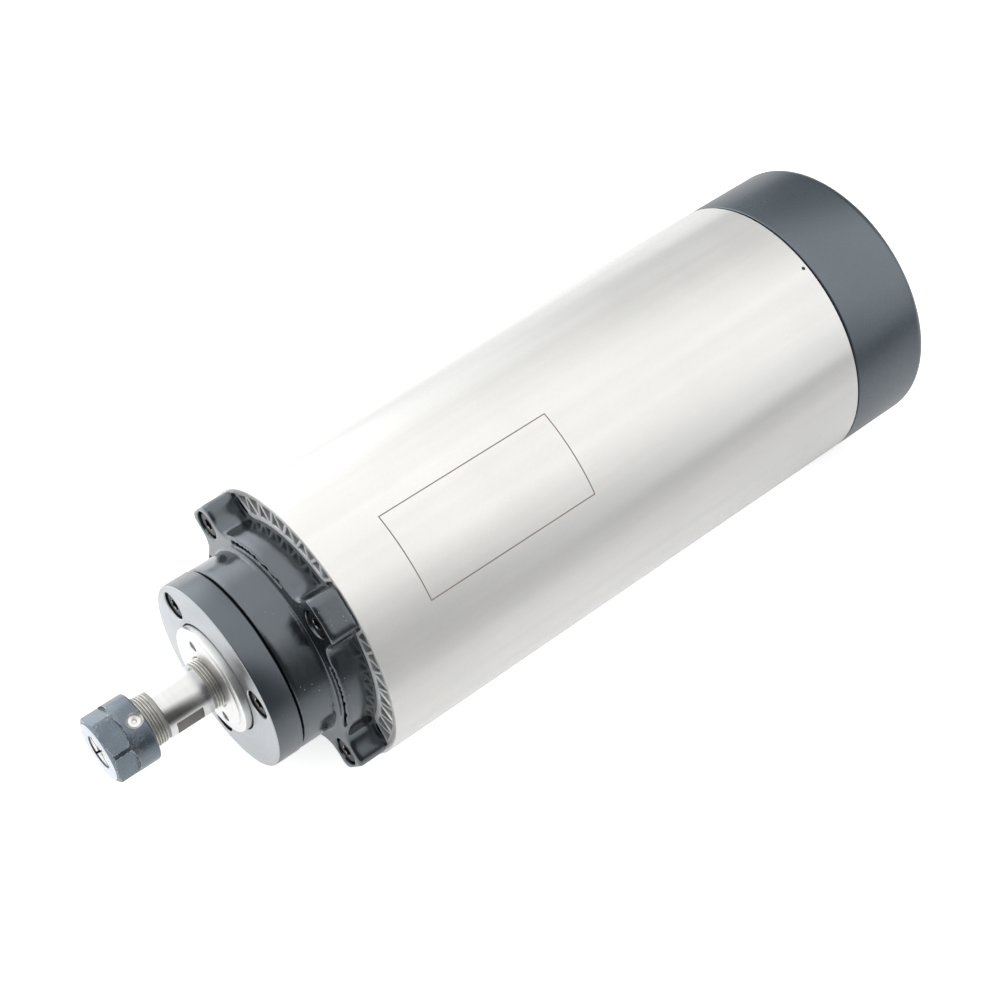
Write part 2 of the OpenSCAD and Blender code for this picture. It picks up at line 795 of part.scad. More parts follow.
// A round wire swept along a path
module wire(path, r, sides) {
    n = len(path);
    points = [for (i = [0 : n - 1]) each path_ring(path, i, r, sides)];
    walls = [for (i = [0 : n - 2]) for (k = [0 : sides - 1])
        let (m = (k + 1) % sides) [i * sides + k, (i + 1) * sides + k, (i + 1) * sides + m, i * sides + m]];
    first = [for (k = [0 : sides - 1]) k];
    last = [for (k = [sides - 1 : -1 : 0]) (n - 1) * sides + k];
    polyhedron(points = points, faces = concat(walls, [first, last]), convexity = 6);
}

// Lead wires: three phases and earth, from the end turns past the fan to the pins
module lead_wires() {
    bend = 1.6;
    steps = 3;
    sides = 8;
    color(LEAD_RED) lie() rotate([0, 0, -lead_angle]) for (k = [0 : 3])
        wire(rounded(lead_route(k), bend, steps), lead_r, sides);
}

// Shaft: threaded nose, wrench flats, bearing seats, core seat and fan seat
module shaft() {
    ease = 0.4;
    mouth_r = taper_r(shaft_tip) + seat_gap;
    taper_end = collet_rear + 0.9;
    taper_end_r = taper_r(taper_end) + seat_gap;
    shoulder_r = 9.4;
    relief_r = 6.7;
    relief_l = 3;
    rear_shoulder_r = 8.2;
    core_seat_end = core_half + end_ring_w + 2;
    seat_start = front_bearing_start + 0.1;
    drill_point = 2;
    flat_cut = 2;
    clip_y = fan_hub_rear + 0.1;
    clip_w = 1.1;
    clip_r = 4.6;
    color(GROUND_STEEL) lie() difference() {
        rotate_extrude() polygon([
            [mouth_r, shaft_tip], [thread_r - ease, shaft_tip], [thread_r, shaft_tip + ease],
            [thread_r, thread_end], [journal_r, thread_end], [journal_r, ring_thread_start],
            [thread_r, ring_thread_start], [thread_r, seat_start - relief_l],
            [relief_r, seat_start - relief_l], [relief_r, seat_start], [front_seat_r, seat_start],
            [front_seat_r, front_bearing_end],
            [shoulder_r, front_bearing_end], [shoulder_r, -core_seat_end], [core_seat_r, -core_seat_end],
            [core_seat_r, core_seat_end], [rear_shoulder_r, core_seat_end],
            [rear_shoulder_r, rear_bearing_start], [rear_seat_r, rear_bearing_start],
            [rear_seat_r, rear_bearing_end], [fan_seat_r, rear_bearing_end], [fan_seat_r, clip_y],
            [clip_r, clip_y], [clip_r, clip_y + clip_w], [fan_seat_r, clip_y + clip_w],
            [fan_seat_r, shaft_end - ease], [fan_seat_r - ease, shaft_end], [0, shaft_end],
            [0, shaft_bore_end + drill_point], [shaft_bore_r, shaft_bore_end], [shaft_bore_r, taper_end],
            [taper_end_r, taper_end]
        ]);
        for (side = [0, 180]) around(flat_angle + side, flat_af / 2)
            translate([0, -thread_r, flat_from]) cube([flat_cut, 2 * thread_r, flat_to - flat_from]);
    }
}

// Lock ring: threaded on the shaft, covers the cap's bore and holds the inner rings
module lock_ring() {
    ease = 0.35;
    boss_r = 13.2;
    boss_front = ring_front - 0.4;
    bore_r = thread_r + fit;
    chamfer = 0.6;
    color(GROUND_STEEL) lie() difference() {
        rotate_extrude() polygon([
            [bore_r + chamfer, boss_front], [boss_r, boss_front], [boss_r, ring_front],
            [ring_r - ease, ring_front], [ring_r, ring_front + ease], [ring_r, ring_rear],
            [ring_hub_r, ring_rear], [ring_hub_r, front_bearing_start], [bore_r, front_bearing_start],
            [bore_r, boss_front + chamfer]
        ]);
        for (side = [0, 180]) around(ring_pin_angle + side, ring_pin_circle_r)
            translate([0, 0, boss_front - cut])
                cylinder(r = ring_pin_r, h = ring_pin_depth + cut, $fn = small_fn);
    }
}

// Rotor core: lamination stack on the shaft
module rotor_core() {
    color(LAMINATION) lie() tube(rotor_r, core_seat_r + fit, -core_half, core_half);
}

// Rotor end rings: cast rings that join the rotor's bars, with balancing pegs
module rotor_end_rings() {
    ring_ro = rotor_r - 0.3;
    ring_ri = 11.5;
    peg_n = 8;
    peg_circle_r = 14.3;
    peg_r = 1.2;
    peg_h = 3;
    color(ALUMINIUM) lie() for (side = [0, 1]) mirror([0, 0, side]) {
        tube(ring_ro, ring_ri, core_half, core_half + end_ring_w);
        for (i = [0 : peg_n - 1]) around(i * 360 / peg_n, peg_circle_r)
            translate([0, 0, core_half + end_ring_w - cut])
                cylinder(r = peg_r, h = peg_h + cut, $fn = small_fn);
    }
}

// Cooling fan: radial blades on a disc, pressed on the shaft's end
module cooling_fan() {
    hub_r = 9;
    disc_t = 1.6;
    blade_t = 1.5;
    blade_drop = 1.8;
    blade_foot = fan_front + disc_t / 2;
    color(BLACK_PLASTIC) lie() difference() {
        union() {
            disc(fan_r, fan_front, fan_front + disc_t);
            disc(hub_r, fan_front, fan_hub_rear);
            for (i = [0 : fan_blades - 1]) rotate([0, 0, -i * 360 / fan_blades])
                translate([0, blade_t / 2, 0]) rotate([90, 0, 0]) linear_extrude(height = blade_t) polygon([
                    [hub_r - cut, blade_foot], [fan_r - cut, blade_foot],
                    [fan_r - cut, fan_rear - blade_drop], [hub_r - cut, fan_rear]
                ]);
        }
        disc(fan_seat_r + fit, fan_front - cut, fan_hub_rear + cut);
    }
}

// Fan circlip in the groove at the shaft's end
module fan_circlip() {
    clip_t = 1;
    clip_ri = 4.62;
    clip_ro = 6.4;
    clip_gap = 1.8;
    ear_v = 2.1;
    ear_r = 1.5;
    ear_hole_r = 0.6;
    color(GROUND_STEEL) lie() translate([0, 0, fan_hub_rear + 0.12])
        linear_extrude(height = clip_t) difference() {
        union() {
            circle(r = clip_ro);
            for (v = [-ear_v, ear_v]) translate([clip_ro, v]) circle(r = ear_r, $fn = small_fn);
        }
        circle(r = clip_ri);
        translate([0, -clip_gap / 2]) square([clip_ro + 2 * ear_r, clip_gap]);
        for (v = [-ear_v, ear_v]) translate([clip_ro, v]) circle(r = ear_hole_r, $fn = small_fn);
    }
}

// Radius of the collet's long taper at a station
function taper_r(y) = collet_taper_r - taper * (y - collet_taper_y);

// Slits cut along the collet: from the front face or from the rear
module collet_slits(from_y, to_y, width, turn) {
    for (i = [0 : 1]) rotate([0, 0, turn + i * 90])
        translate([-collet_taper_r - cut, -width / 2, from_y])
            cube([2 * (collet_taper_r + cut), width, to_y - from_y]);
}

// Collet: spring collet with a long taper, a nose taper and slits from both ends
module collet() {
    web = 3.4;
    turn = -54;
    color(GROUND_STEEL) lie() difference() {
        rotate_extrude() polygon([
            [tool_r, collet_front], [collet_face_r, collet_front], [collet_rim_r, collet_rim_y],
            [collet_rim_r, collet_groove_y], [collet_groove_r, collet_groove_y],
            [collet_groove_r, collet_taper_y], [collet_taper_r, collet_taper_y],
            [taper_r(collet_rear), collet_rear], [tool_r, collet_rear]
        ]);
        collet_slits(collet_front - cut, collet_rear - web, slit_w, turn);
        collet_slits(collet_front + web, collet_rear + cut, rear_slit_w, turn + 45);
    }
}

// Collet nut: round behind and hexagonal in front, with an extraction lip inside
module collet_nut() {
    ease = 0.5;
    face_r = 8.1;
    gap = 0.06;
    lip_r = collet_groove_r + 0.12;
    lip_front = collet_groove_y + 0.05;
    lip_rear = collet_taper_y - 0.05;
    run_out_r = 10.4;
    mouth_r = collet_face_r - nose_taper * (collet_front - nut_front) + gap;
    rim_r = collet_rim_r + gap;
    flat_far = nut_r + 4;
    run_out_y = front - 55.4;
    color(BLACK_OXIDE) lie() difference() {
        rotate_extrude() polygon([
            [mouth_r, nut_front], [face_r, nut_front], [nut_r, nut_front + (nut_r - face_r) * nose_taper],
            [nut_r, nut_rear - ease], [nut_r - ease, nut_rear], [nut_bore_r + ease, nut_rear],
            [nut_bore_r, nut_rear - ease], [nut_bore_r, lip_rear], [lip_r, lip_rear], [lip_r, lip_front],
            [rim_r + gap, lip_front], [rim_r + gap, collet_rim_y], [rim_r, collet_rim_y]
        ]);
        for (i = [0 : 5]) rotate([0, 0, -nut_hex_angle - i * 60])
            translate([nut_af / 2, 0, run_out_y - run_out_r]) rotate([0, 90, 0])
                cylinder(r = run_out_r, h = flat_far - nut_af / 2);
        around(dimple_angle, nut_r - dimple_depth) translate([0, 0, dimple_y]) rotate([0, 90, 0])
            cylinder(r = dimple_r, h = dimple_depth + cut, $fn = small_fn);
    }
}

outer_sleeve();
cooling_jacket();
stator_core();
stator_windings();
front_housing();
housing_screws();
front_cap();
front_cap_screws();
front_bearing_outer_rings();
rear_shield();
rear_bearing_outer_ring();
preload_spring();
rear_cover();
rear_cover_screws();
receptacle_shell();
receptacle_nut();
receptacle_insulator();
receptacle_pins();
lead_wires();
shaft();
lock_ring();
front_bearing_inner_rings();
rear_bearing_inner_ring();
rotor_core();
rotor_end_rings();
cooling_fan();
fan_circlip();
front_bearing_balls();
front_bearing_cages();
rear_bearing_balls();
rear_bearing_cage();
collet();
collet_nut();
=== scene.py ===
import math

import bmesh
import bpy
from bpy.props import FloatProperty, FloatVectorProperty, IntProperty, PointerProperty
from bpy.types import Operator, Panel, PropertyGroup
from mathutils import Matrix, Vector


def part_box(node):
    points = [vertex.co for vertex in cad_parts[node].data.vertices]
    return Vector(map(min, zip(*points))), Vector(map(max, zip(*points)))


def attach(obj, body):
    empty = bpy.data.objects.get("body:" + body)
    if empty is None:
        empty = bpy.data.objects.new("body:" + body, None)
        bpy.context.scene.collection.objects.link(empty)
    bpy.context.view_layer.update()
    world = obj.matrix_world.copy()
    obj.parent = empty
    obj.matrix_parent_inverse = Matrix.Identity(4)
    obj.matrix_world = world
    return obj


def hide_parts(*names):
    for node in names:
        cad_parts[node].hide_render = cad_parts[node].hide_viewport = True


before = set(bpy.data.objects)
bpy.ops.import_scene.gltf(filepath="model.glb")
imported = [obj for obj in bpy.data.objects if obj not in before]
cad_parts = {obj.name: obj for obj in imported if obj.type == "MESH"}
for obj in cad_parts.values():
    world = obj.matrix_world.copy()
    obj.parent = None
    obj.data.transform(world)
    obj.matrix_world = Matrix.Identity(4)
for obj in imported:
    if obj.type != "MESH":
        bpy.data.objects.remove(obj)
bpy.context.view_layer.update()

bl_info = {
    "name": "Motor spindle",
    "version": (1, 0, 0),
    "blender": (4, 5, 0),
    "location": "View3D > Sidebar > Spindle",
    "description": "Builds the looks of an air-cooled motor spindle round its frame",
    "category": "Object",
}

LOW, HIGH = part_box("outer_sleeve")
MM = 0.001

# Stations along the axis, in millimetres
FRONT, REAR = -82.0, 82.0
JACKET_FRONT, JACKET_REAR = -81.2, 79.0
LUG_FACE, COLLAR_FRONT = -90.2, -100.6
CAP_FRONT, CAP_REAR = -108.45, -101.0
RING_FRONT, RING_REAR = -110.5, -106.9
COVER_FRONT, COVER_SEAT, COVER_INSIDE, COVER_END = 82.6, 105.1, 106.7, 109.7
NUT_FRONT, NUT_REAR = -143.7, -131.5
SHAFT_TIP, THREAD_END, RING_THREAD = -139.2, -126.7, -113.8

# Radii in millimetres, and angles round the axis in degrees
COVER_R, FLANGE_R, COLLAR_R, CAP_R, RING_R, NUT_R = 40.0, 31.0, 26.7, 26.8, 15.3, 9.5
LUG_SCREW_R, CAP_SCREW_R = 34.2, 21.1
LUG_ANGLE, CAP_ANGLE, MARK_ANGLE = 54.0, 26.0, 69.3

# Counterbores of the socket screws: depth of the seat, and radius round the head and the shank
SEAT_DEPTH, HEAD_BORE, SHANK_BORE = 4.6, 4.0, 2.25


# ---- Shapes: outlines, turning, extruding, cutting ----

def rounded(corners, steps=5):
    """The outline through corners (a, b, radius), each corner with a radius turned into an arc."""
    points = []
    for i, (a, b, radius) in enumerate(corners):
        here = Vector((a, b))
        if radius <= 0:
            points.append((a, b))
            continue
        back = (Vector(corners[i - 1][:2]) - here).normalized()
        on = (Vector(corners[(i + 1) % len(corners)][:2]) - here).normalized()
        half = back.angle(on) / 2
        centre = here + (back + on).normalized() * (radius / math.sin(half))
        start = here + back * (radius / math.tan(half)) - centre
        end = here + on * (radius / math.tan(half)) - centre
        turn = math.atan2(start.x * end.y - start.y * end.x, start.dot(end))
        for k in range(steps + 1):
            spoke = Matrix.Rotation(turn * k / steps, 2) @ start
            points.append(tuple(centre + spoke))
    return points


def arc(centre, radius, start, end, steps):
    """Points of an arc, angles in degrees."""
    angles = [math.radians(start + (end - start) * k / steps) for k in range(steps + 1)]
    return [(centre[0] + radius * math.cos(t), centre[1] + radius * math.sin(t)) for t in angles]


def circle(centre, radius, sides):
    """Points all round a circle. Six of them make a hexagon."""
    return arc(centre, radius, 0, 360 - 360 / sides, sides - 1)


def turned(outline, steps):
    """A shape turned round the spindle's axis from an outline of (radius, station) points."""
    bm = bmesh.new()
    verts = [bm.verts.new((r, y, 0)) for r, y in outline]
    pairs = zip(verts, verts[1:] + verts[:1])
    edges = [bm.edges.new(pair) for pair in pairs if max(v.co.x for v in pair) > 0]
    bmesh.ops.spin(bm, geom=verts + edges, cent=(0, 0, 0), axis=(0, 1, 0), angle=math.tau,
                   steps=steps, use_merge=True)
    bmesh.ops.remove_doubles(bm, verts=bm.verts, dist=0.0005)
    bmesh.ops.recalc_face_normals(bm, faces=bm.faces)
    return bm


def swept(outline, start, end, steps):
    """A solid sector: an outline of (radius, station) points swept from one angle to another."""
    bm = bmesh.new()
    face = bm.faces.new([bm.verts.new((r, y, 0)) for r, y in outline])
    begin = Matrix.Rotation(math.radians(-start), 3, "Y")
    bmesh.ops.rotate(bm, cent=(0, 0, 0), matrix=begin, verts=bm.verts)
    bmesh.ops.spin(bm, geom=[face, *face.edges, *face.verts], cent=(0, 0, 0), axis=(0, -1, 0),
                   angle=math.radians(end - start), steps=steps)
    bmesh.ops.recalc_face_normals(bm, faces=bm.faces)
    return bm


def raised(bm, faces, height):
    """Flat faces pulled along the axis into a solid."""
    grown = bmesh.ops.extrude_face_region(bm, geom=faces)["geom"]
    moved = [v for v in grown if isinstance(v, bmesh.types.BMVert)]
    bmesh.ops.translate(bm, verts=moved, vec=(0, height, 0))
    bmesh.ops.recalc_face_normals(bm, faces=bm.faces)
    return bm


def prism(outline, y0, y1):
    """A flat outline of (x, z) points made solid from one station to another."""
    bm = bmesh.new()
    face = bm.faces.new([bm.verts.new((x, y0, z)) for x, z in outline])
    return raised(bm, [face], y1 - y0)


def block(low, high):
    """A box from its low to its high corner."""
    bm = bmesh.new()
    bmesh.ops.create_cube(bm, size=1)
    size = [b - a for a, b in zip(low, high)]
    bmesh.ops.scale(bm, vec=size, verts=bm.verts)
    bmesh.ops.translate(bm, verts=bm.verts, vec=[(a + b) / 2 for a, b in zip(low, high)])
    return bm


def helix(crest, root, pitch, y0, y1):
    """The ridge of a screw thread, run out at both ends. Its foot lies under the root."""
    bm = bmesh.new()
    foot = root - 0.25
    section = [(foot, -0.48), (crest, -0.06), (crest, 0.06), (foot, 0.48)]
    face = bm.faces.new([bm.verts.new((r, y0 + w * pitch, 0)) for r, w in section])
    turns = (y1 - y0) / pitch
    steps = int(turns * 56)
    bmesh.ops.spin(bm, geom=[face, *face.edges, *face.verts], cent=(0, 0, 0), axis=(0, 1, 0),
                   angle=math.tau * turns, steps=steps, dvec=(0, (y1 - y0) / steps, 0))
    fade, spare = 0.5 * pitch, 0.1 * pitch
    for v in bm.verts:
        radius = off_axis(v.co)
        share = min(1, (v.co.y - y0 + spare) / fade, (y1 + spare - v.co.y) / fade)
        wanted = foot + (radius - foot) * max(share, 0)
        v.co.x *= wanted / radius
        v.co.z *= wanted / radius
    bmesh.ops.recalc_face_normals(bm, faces=bm.faces)
    return bm


def placed(bm, angle=0.0, radius=0.0, station=0.0):
    """Moves a shape made round the axis out to a radius and round to an angle."""
    spin = Matrix.Rotation(math.radians(-angle), 4, "Y")
    move = Matrix.Translation((radius, station, 0))
    bmesh.ops.transform(bm, matrix=spin @ move, verts=bm.verts)
    return bm


def ringed(make, count, start, radius=0.0):
    """What make gives, placed several times and evenly round the axis."""
    return [placed(make(), start + i * 360 / count, radius) for i in range(count)]


def pointed_out(bm, station):
    """Turns a shape made round the axis to point straight out from it at a station."""
    lean = Matrix.Rotation(math.radians(-90), 4, "Z")
    bmesh.ops.transform(bm, matrix=lean, verts=bm.verts)
    bmesh.ops.translate(bm, verts=bm.verts, vec=(0, station, 0))
    return bm


def mesh_of(bm, name):
    """A shape as a mesh. The shape itself goes."""
    mesh = bpy.data.meshes.new(name)
    bm.to_mesh(mesh)
    bm.free()
    return mesh


def linked(name, data):
    """A new object in the scene."""
    obj = bpy.data.objects.new(name, data)
    bpy.context.scene.collection.objects.link(obj)
    return obj


def gathered(parts):
    """Several shapes as one."""
    whole = bmesh.new()
    for part in parts:
        scrap = mesh_of(part, "scrap")
        whole.from_mesh(scrap)
        bpy.data.meshes.remove(scrap)
    return whole


def bench_object(bm):
    """A shape as a passing object that a modifier can work on."""
    mesh = mesh_of(bm, "bench")
    for _ in range(4):
        mesh.materials.append(None)
    return linked("bench", mesh)


def drop(obj):
    """Removes a passing object with its mesh."""
    mesh = obj.data
    bpy.data.objects.remove(obj)
    bpy.data.meshes.remove(mesh)


def worked(obj):
    """The shape that an object's modifiers give. The passing object goes."""
    bpy.context.view_layer.update()
    graph = bpy.context.evaluated_depsgraph_get()
    made = bpy.data.meshes.new_from_object(obj.evaluated_get(graph))
    bm = bmesh.new()
    bm.from_mesh(made)
    drop(obj)
    bpy.data.meshes.remove(made)
    return bm


def cut(bm, cutters, operation="DIFFERENCE"):
    """Takes cutters away from a shape, or joins or keeps what they share."""
    body = bench_object(bm)
    tools = [bench_object(c) for c in cutters]
    for tool in tools:
        modifier = body.modifiers.new("cut", "BOOLEAN")
        modifier.operation = operation
        modifier.solver = "EXACT"
        modifier.object = tool
    result = worked(body)
    for tool in tools:
        drop(tool)
    return result


def cast_skin(bm, grain, passes):
    """Melts a shape into one skin with the soft corners of a casting."""
    obj = bench_object(bm)
    modifier = obj.modifiers.new("skin", "REMESH")
    modifier.mode = "VOXEL"
    modifier.voxel_size = grain
    bm = worked(obj)
    for _ in range(passes):
        bmesh.ops.smooth_vert(bm, verts=bm.verts, factor=0.5,
                              use_axis_x=True, use_axis_y=True, use_axis_z=True)
    return bm


def eased(bm, width, chosen, angle=20, segments=2, finish=-1):
    """Rounds the sharp edges that the test picks. The round can have a finish of its own."""
    sharp = math.radians(angle)
    edges = [e for e in bm.edges if e.is_manifold and e.calc_face_angle(0) > sharp and chosen(e)]
    bmesh.ops.bevel(bm, geom=edges, offset=width, offset_type="OFFSET", segments=segments, profile=0.5,
                    affect="EDGES", clamp_overlap=False, material=finish)
    return bm


def middle(edge):
    return (edge.verts[0].co + edge.verts[1].co) / 2


def off_axis(point):
    """How far a point is from the spindle's axis."""
    return math.hypot(point.x, point.z)


def tint(bm, index, chosen=lambda centre, normal: True):
    """Gives one of the piece's finishes to all faces, or to those that the test picks."""
    for face in bm.faces:
        if chosen(face.calc_center_median(), face.normal):
            face.material_index = index
    return bm


def finished(name, bm, finishes, body, stands_for=(), crease=32):
    """Hands a shape over as a piece of the spindle, in metres."""
    bmesh.ops.scale(bm, vec=(MM, MM, MM), verts=bm.verts)
    mesh = mesh_of(bm, name)
    for finish in finishes:
        mesh.materials.append(bpy.data.materials[finish])
    mesh.shade_smooth()
    mesh.set_sharp_from_angle(angle=math.radians(crease))
    obj = linked(name, mesh)
    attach(obj, body)
    if stands_for:
        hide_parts(*stands_for)


# ---- Finishes: nodes, shared effects, materials ----

def wire(tree, socket, value):
    """Sets an input to a value, or links it to the output of another node."""
    if isinstance(value, bpy.types.NodeSocket):
        tree.links.new(value, socket)
    else:
        socket.default_value = value


def put(tree, kind, inputs=None, **settings):
    """A shader node with its settings, and with its inputs set or linked."""
    node = tree.nodes.new("ShaderNode" + kind)
    for key, value in settings.items():
        setattr(node, key, value)
    for key, value in (inputs or {}).items():
        wire(tree, node.inputs[key], value)
    return node


def calc(tree, operation, a, b=0.0):
    return put(tree, "Math", {0: a, 1: b}, operation=operation).outputs[0]


def blended(tree, share, first, second):
    """A colour between two, by a share from 0 to 1."""
    return put(tree, "Mix", {0: share, 6: first, 7: second}, data_type="RGBA").outputs[2]


def band(tree, value, low, high, to_low=0.0, to_high=1.0):
    """A value stretched from one range to another, and kept inside it."""
    return put(tree, "MapRange", {0: value, 1: low, 2: high, 3: to_low, 4: to_high}).outputs[0]


def split(tree, place):
    """The x, y and z of a place."""
    return put(tree, "SeparateXYZ", {0: place}).outputs


def from_axis(tree, place):
    """How far a place is from the spindle's axis."""
    x, _, z = split(tree, place)
    squares = calc(tree, "ADD", calc(tree, "MULTIPLY", x, x), calc(tree, "MULTIPLY", z, z))
    return calc(tree, "SQRT", squares)


def noise(tree, place, scale, detail, **more):
    """Soft random values over a place."""
    return put(tree, "TexNoise", {"Vector": place, "Scale": scale, "Detail": detail, **more}).outputs[0]


def turned_lines(tree, ask):
    """Fine rings left by a lathe tool, on faces and on round sides."""
    place = ask["Position"]
    across = calc(tree, "ADD", from_axis(tree, place), split(tree, place)[1])

    def rings(per_metre, detail):
        inputs = {"W": calc(tree, "MULTIPLY", across, per_metre), "Scale": 1.0, "Detail": detail}
        return put(tree, "TexNoise", inputs, noise_dimensions="1D").outputs[0]

    return rings(ask["Lines per metre"], 2.0), rings(700.0, 1.0)


def metal_skin(tree, ask):
    """The soft ripple, pits and specks of a painted or oxidised surface."""
    place = ask["Position"]
    ripple = noise(tree, place, ask["Ripple"], 2.0)
    grain = noise(tree, place, ask["Pits"], 3.0)
    cells = put(tree, "TexVoronoi", {"Vector": place, "Scale": 800.0, "Randomness": 1.0})
    height = calc(tree, "ADD", ripple, calc(tree, "MULTIPLY", grain, 0.25))
    return height, grain, band(tree, cells.outputs["Distance"], 0.10, 0.06)


def handling(tree, ask):
    """Cloudy smudges from handling."""
    return (noise(tree, ask["Position"], ask["Size"], 5.0, Roughness=0.6),)


def rubbed(tree, ask):
    """Patches where handling has rubbed a corner down to bright metal."""
    large = noise(tree, ask["Position"], 260.0, 2.0)
    small = noise(tree, ask["Position"], 2600.0, 2.0)
    both = calc(tree, "ADD", calc(tree, "MULTIPLY", large, 0.45), calc(tree, "MULTIPLY", small, 0.55))
    return (band(tree, both, ask["Low"], ask["High"]),)


# Each effect, with what it asks for besides a place and the names of what it gives
EFFECTS = (
    (turned_lines, {"Lines per metre": 6000.0}, ("Height", "Broad")),
    (metal_skin, {"Ripple": 700.0, "Pits": 4000.0}, ("Height", "Grain", "Specks")),
    (handling, {"Size": 60.0}, ("Clouds",)),
    (rubbed, {"Low": 0.5, "High": 0.6}, ("Wear",)),
)


def mix_effect(make, asks, gives):
    """Makes an effect into a node group that the finishes share."""
    group = bpy.data.node_groups.new(make.__name__, "ShaderNodeTree")
    sockets = group.interface
    sockets.new_socket("Position", in_out="INPUT", socket_type="NodeSocketVector")
    for label, value in asks.items():
        sockets.new_socket(label, in_out="INPUT", socket_type="NodeSocketFloat").default_value = value
    for label in gives:
        sockets.new_socket(label, in_out="OUTPUT", socket_type="NodeSocketFloat")
    given = make(group, group.nodes.new("NodeGroupInput").outputs)
    for socket, value in zip(group.nodes.new("NodeGroupOutput").inputs, given):
        group.links.new(value, socket)


def shaded(colour, share):
    """A colour made darker or lighter by a share, and opaque."""
    return (*(c * share for c in colour), 1.0)


class Finish:
    """One material while it is being put together."""

    def __init__(self, name, colour, roughness, metallic=0.0):
        material = bpy.data.materials.new(name)
        material.use_nodes = True
        self.material = material
        self.tree = material.node_tree
        self.shader = self.tree.nodes["Principled BSDF"]
        self.colour = (*colour, 1.0)
        self.give(Base_Color=self.colour, Roughness=roughness, Metallic=metallic)
        self.place = put(self.tree, "TexCoord").outputs["Object"]

    def give(self, **values):
        """Sets or links inputs of the shader."""
        for key, value in values.items():
            wire(self.tree, self.shader.inputs[key.replace("_", " ")], value)

    def use(self, effect, **asks):
        """What a shared effect gives on this surface."""
        inputs = {key.replace("_", " "): value for key, value in asks.items()}
        return put(self.tree, "Group", {"Position": self.place, **inputs},
                   node_tree=bpy.data.node_groups[effect]).outputs

    def bump(self, height, depth):
        """Raises the surface by up to depth, in metres."""
        node = put(self.tree, "Bump", {"Height": height, "Distance": depth, "Strength": 1.0})
        self.give(Normal=node.outputs[0])

    def along_cut(self):
        """Points the sheen along the rings that the lathe left."""
        across = put(self.tree, "VectorMath", {0: self.place, 1: (0.0, 1.0, 0.0)}, operation="CROSS_PRODUCT")
        turned_out = put(self.tree, "VectorTransform", {0: across.outputs[0]}, vector_type="VECTOR",
                         convert_from="OBJECT", convert_to="WORLD")
        unit = put(self.tree, "VectorMath", {0: turned_out.outputs[0]}, operation="NORMALIZE")
        self.give(Tangent=unit.outputs[0])


def turned_metal(name, colour, roughness, lines, depth, sheen, shade=0.12, metallic=1.0, **more):
    """Metal off the lathe, with a directional sheen."""
    finish = Finish(name, colour, roughness, metallic)
    tree = finish.tree
    rings = finish.use("turned_lines", Lines_per_metre=lines)
    clouds = finish.use("handling")["Clouds"]
    share = band(tree, calc(tree, "MULTIPLY", rings["Broad"], clouds), 0.1, 0.45)
    finish.give(Base_Color=blended(tree, share, shaded(colour, 1 - shade), finish.colour),
                Roughness=band(tree, clouds, 0.3, 0.7, roughness * 0.85, roughness * 1.2),
                Anisotropic=sheen, **more)
    finish.bump(rings["Height"], depth)
    finish.along_cut()


def skinned_metal(name, colour, roughness, ripple=700.0, depth=0.00001, metallic=0.0, speck=(0.3, 0.3, 0.3),
                  speck_share=0.5, **more):
    """A painted, anodised or oxidised surface with grain, specks and smudges."""
    finish = Finish(name, colour, roughness, metallic)
    tree = finish.tree
    skin = finish.use("metal_skin", Ripple=ripple)
    clouds = finish.use("handling")["Clouds"]
    light = (*(min(1.0, c * 1.5 + 0.004) for c in colour), 1.0)
    base = blended(tree, band(tree, clouds, 0.35, 0.75), finish.colour, light)
    rare = calc(tree, "MULTIPLY", skin["Specks"], band(tree, clouds, 0.56, 0.64))
    share = calc(tree, "MULTIPLY", rare, speck_share)
    finish.give(Base_Color=blended(tree, share, base, (*speck, 1.0)),
                Roughness=band(tree, skin["Grain"], 0.3, 0.7, roughness * 0.8, roughness * 1.25), **more)
    finish.bump(skin["Height"], depth)
    return finish


def rubbed_bright(finish, bright, low, high):
    """Shows bright metal through a finish in patches."""
    wear = finish.use("rubbed", Low=low, High=high)["Wear"]
    before = finish.shader.inputs["Base Color"].links[0].from_socket
    finish.give(Base_Color=blended(finish.tree, wear, before, (*bright, 1.0)), Metallic=wear)


def thread_finish(crest_colour, root_colour, root, crest):
    """A fine thread: bright along its crests, darker towards its roots."""
    finish = Finish("thread_steel", crest_colour, 0.36, 1.0)
    tree = finish.tree
    height = band(tree, from_axis(tree, finish.place), root, crest)
    clouds = finish.use("handling", Size=420.0)["Clouds"]
    # The colour darkens from the crests towards the roots, by the distance from the axis
    towards_crest = calc(tree, "MULTIPLY", height, band(tree, clouds, 0.32, 0.62, 0.35, 1.0))
    finish.give(Base_Color=blended(tree, towards_crest, (*root_colour, 1.0), finish.colour),
                Roughness=band(tree, towards_crest, 0, 1, 0.6, 0.32))
    finish.bump(finish.use("metal_skin", Ripple=1400.0)["Height"], 0.00001)


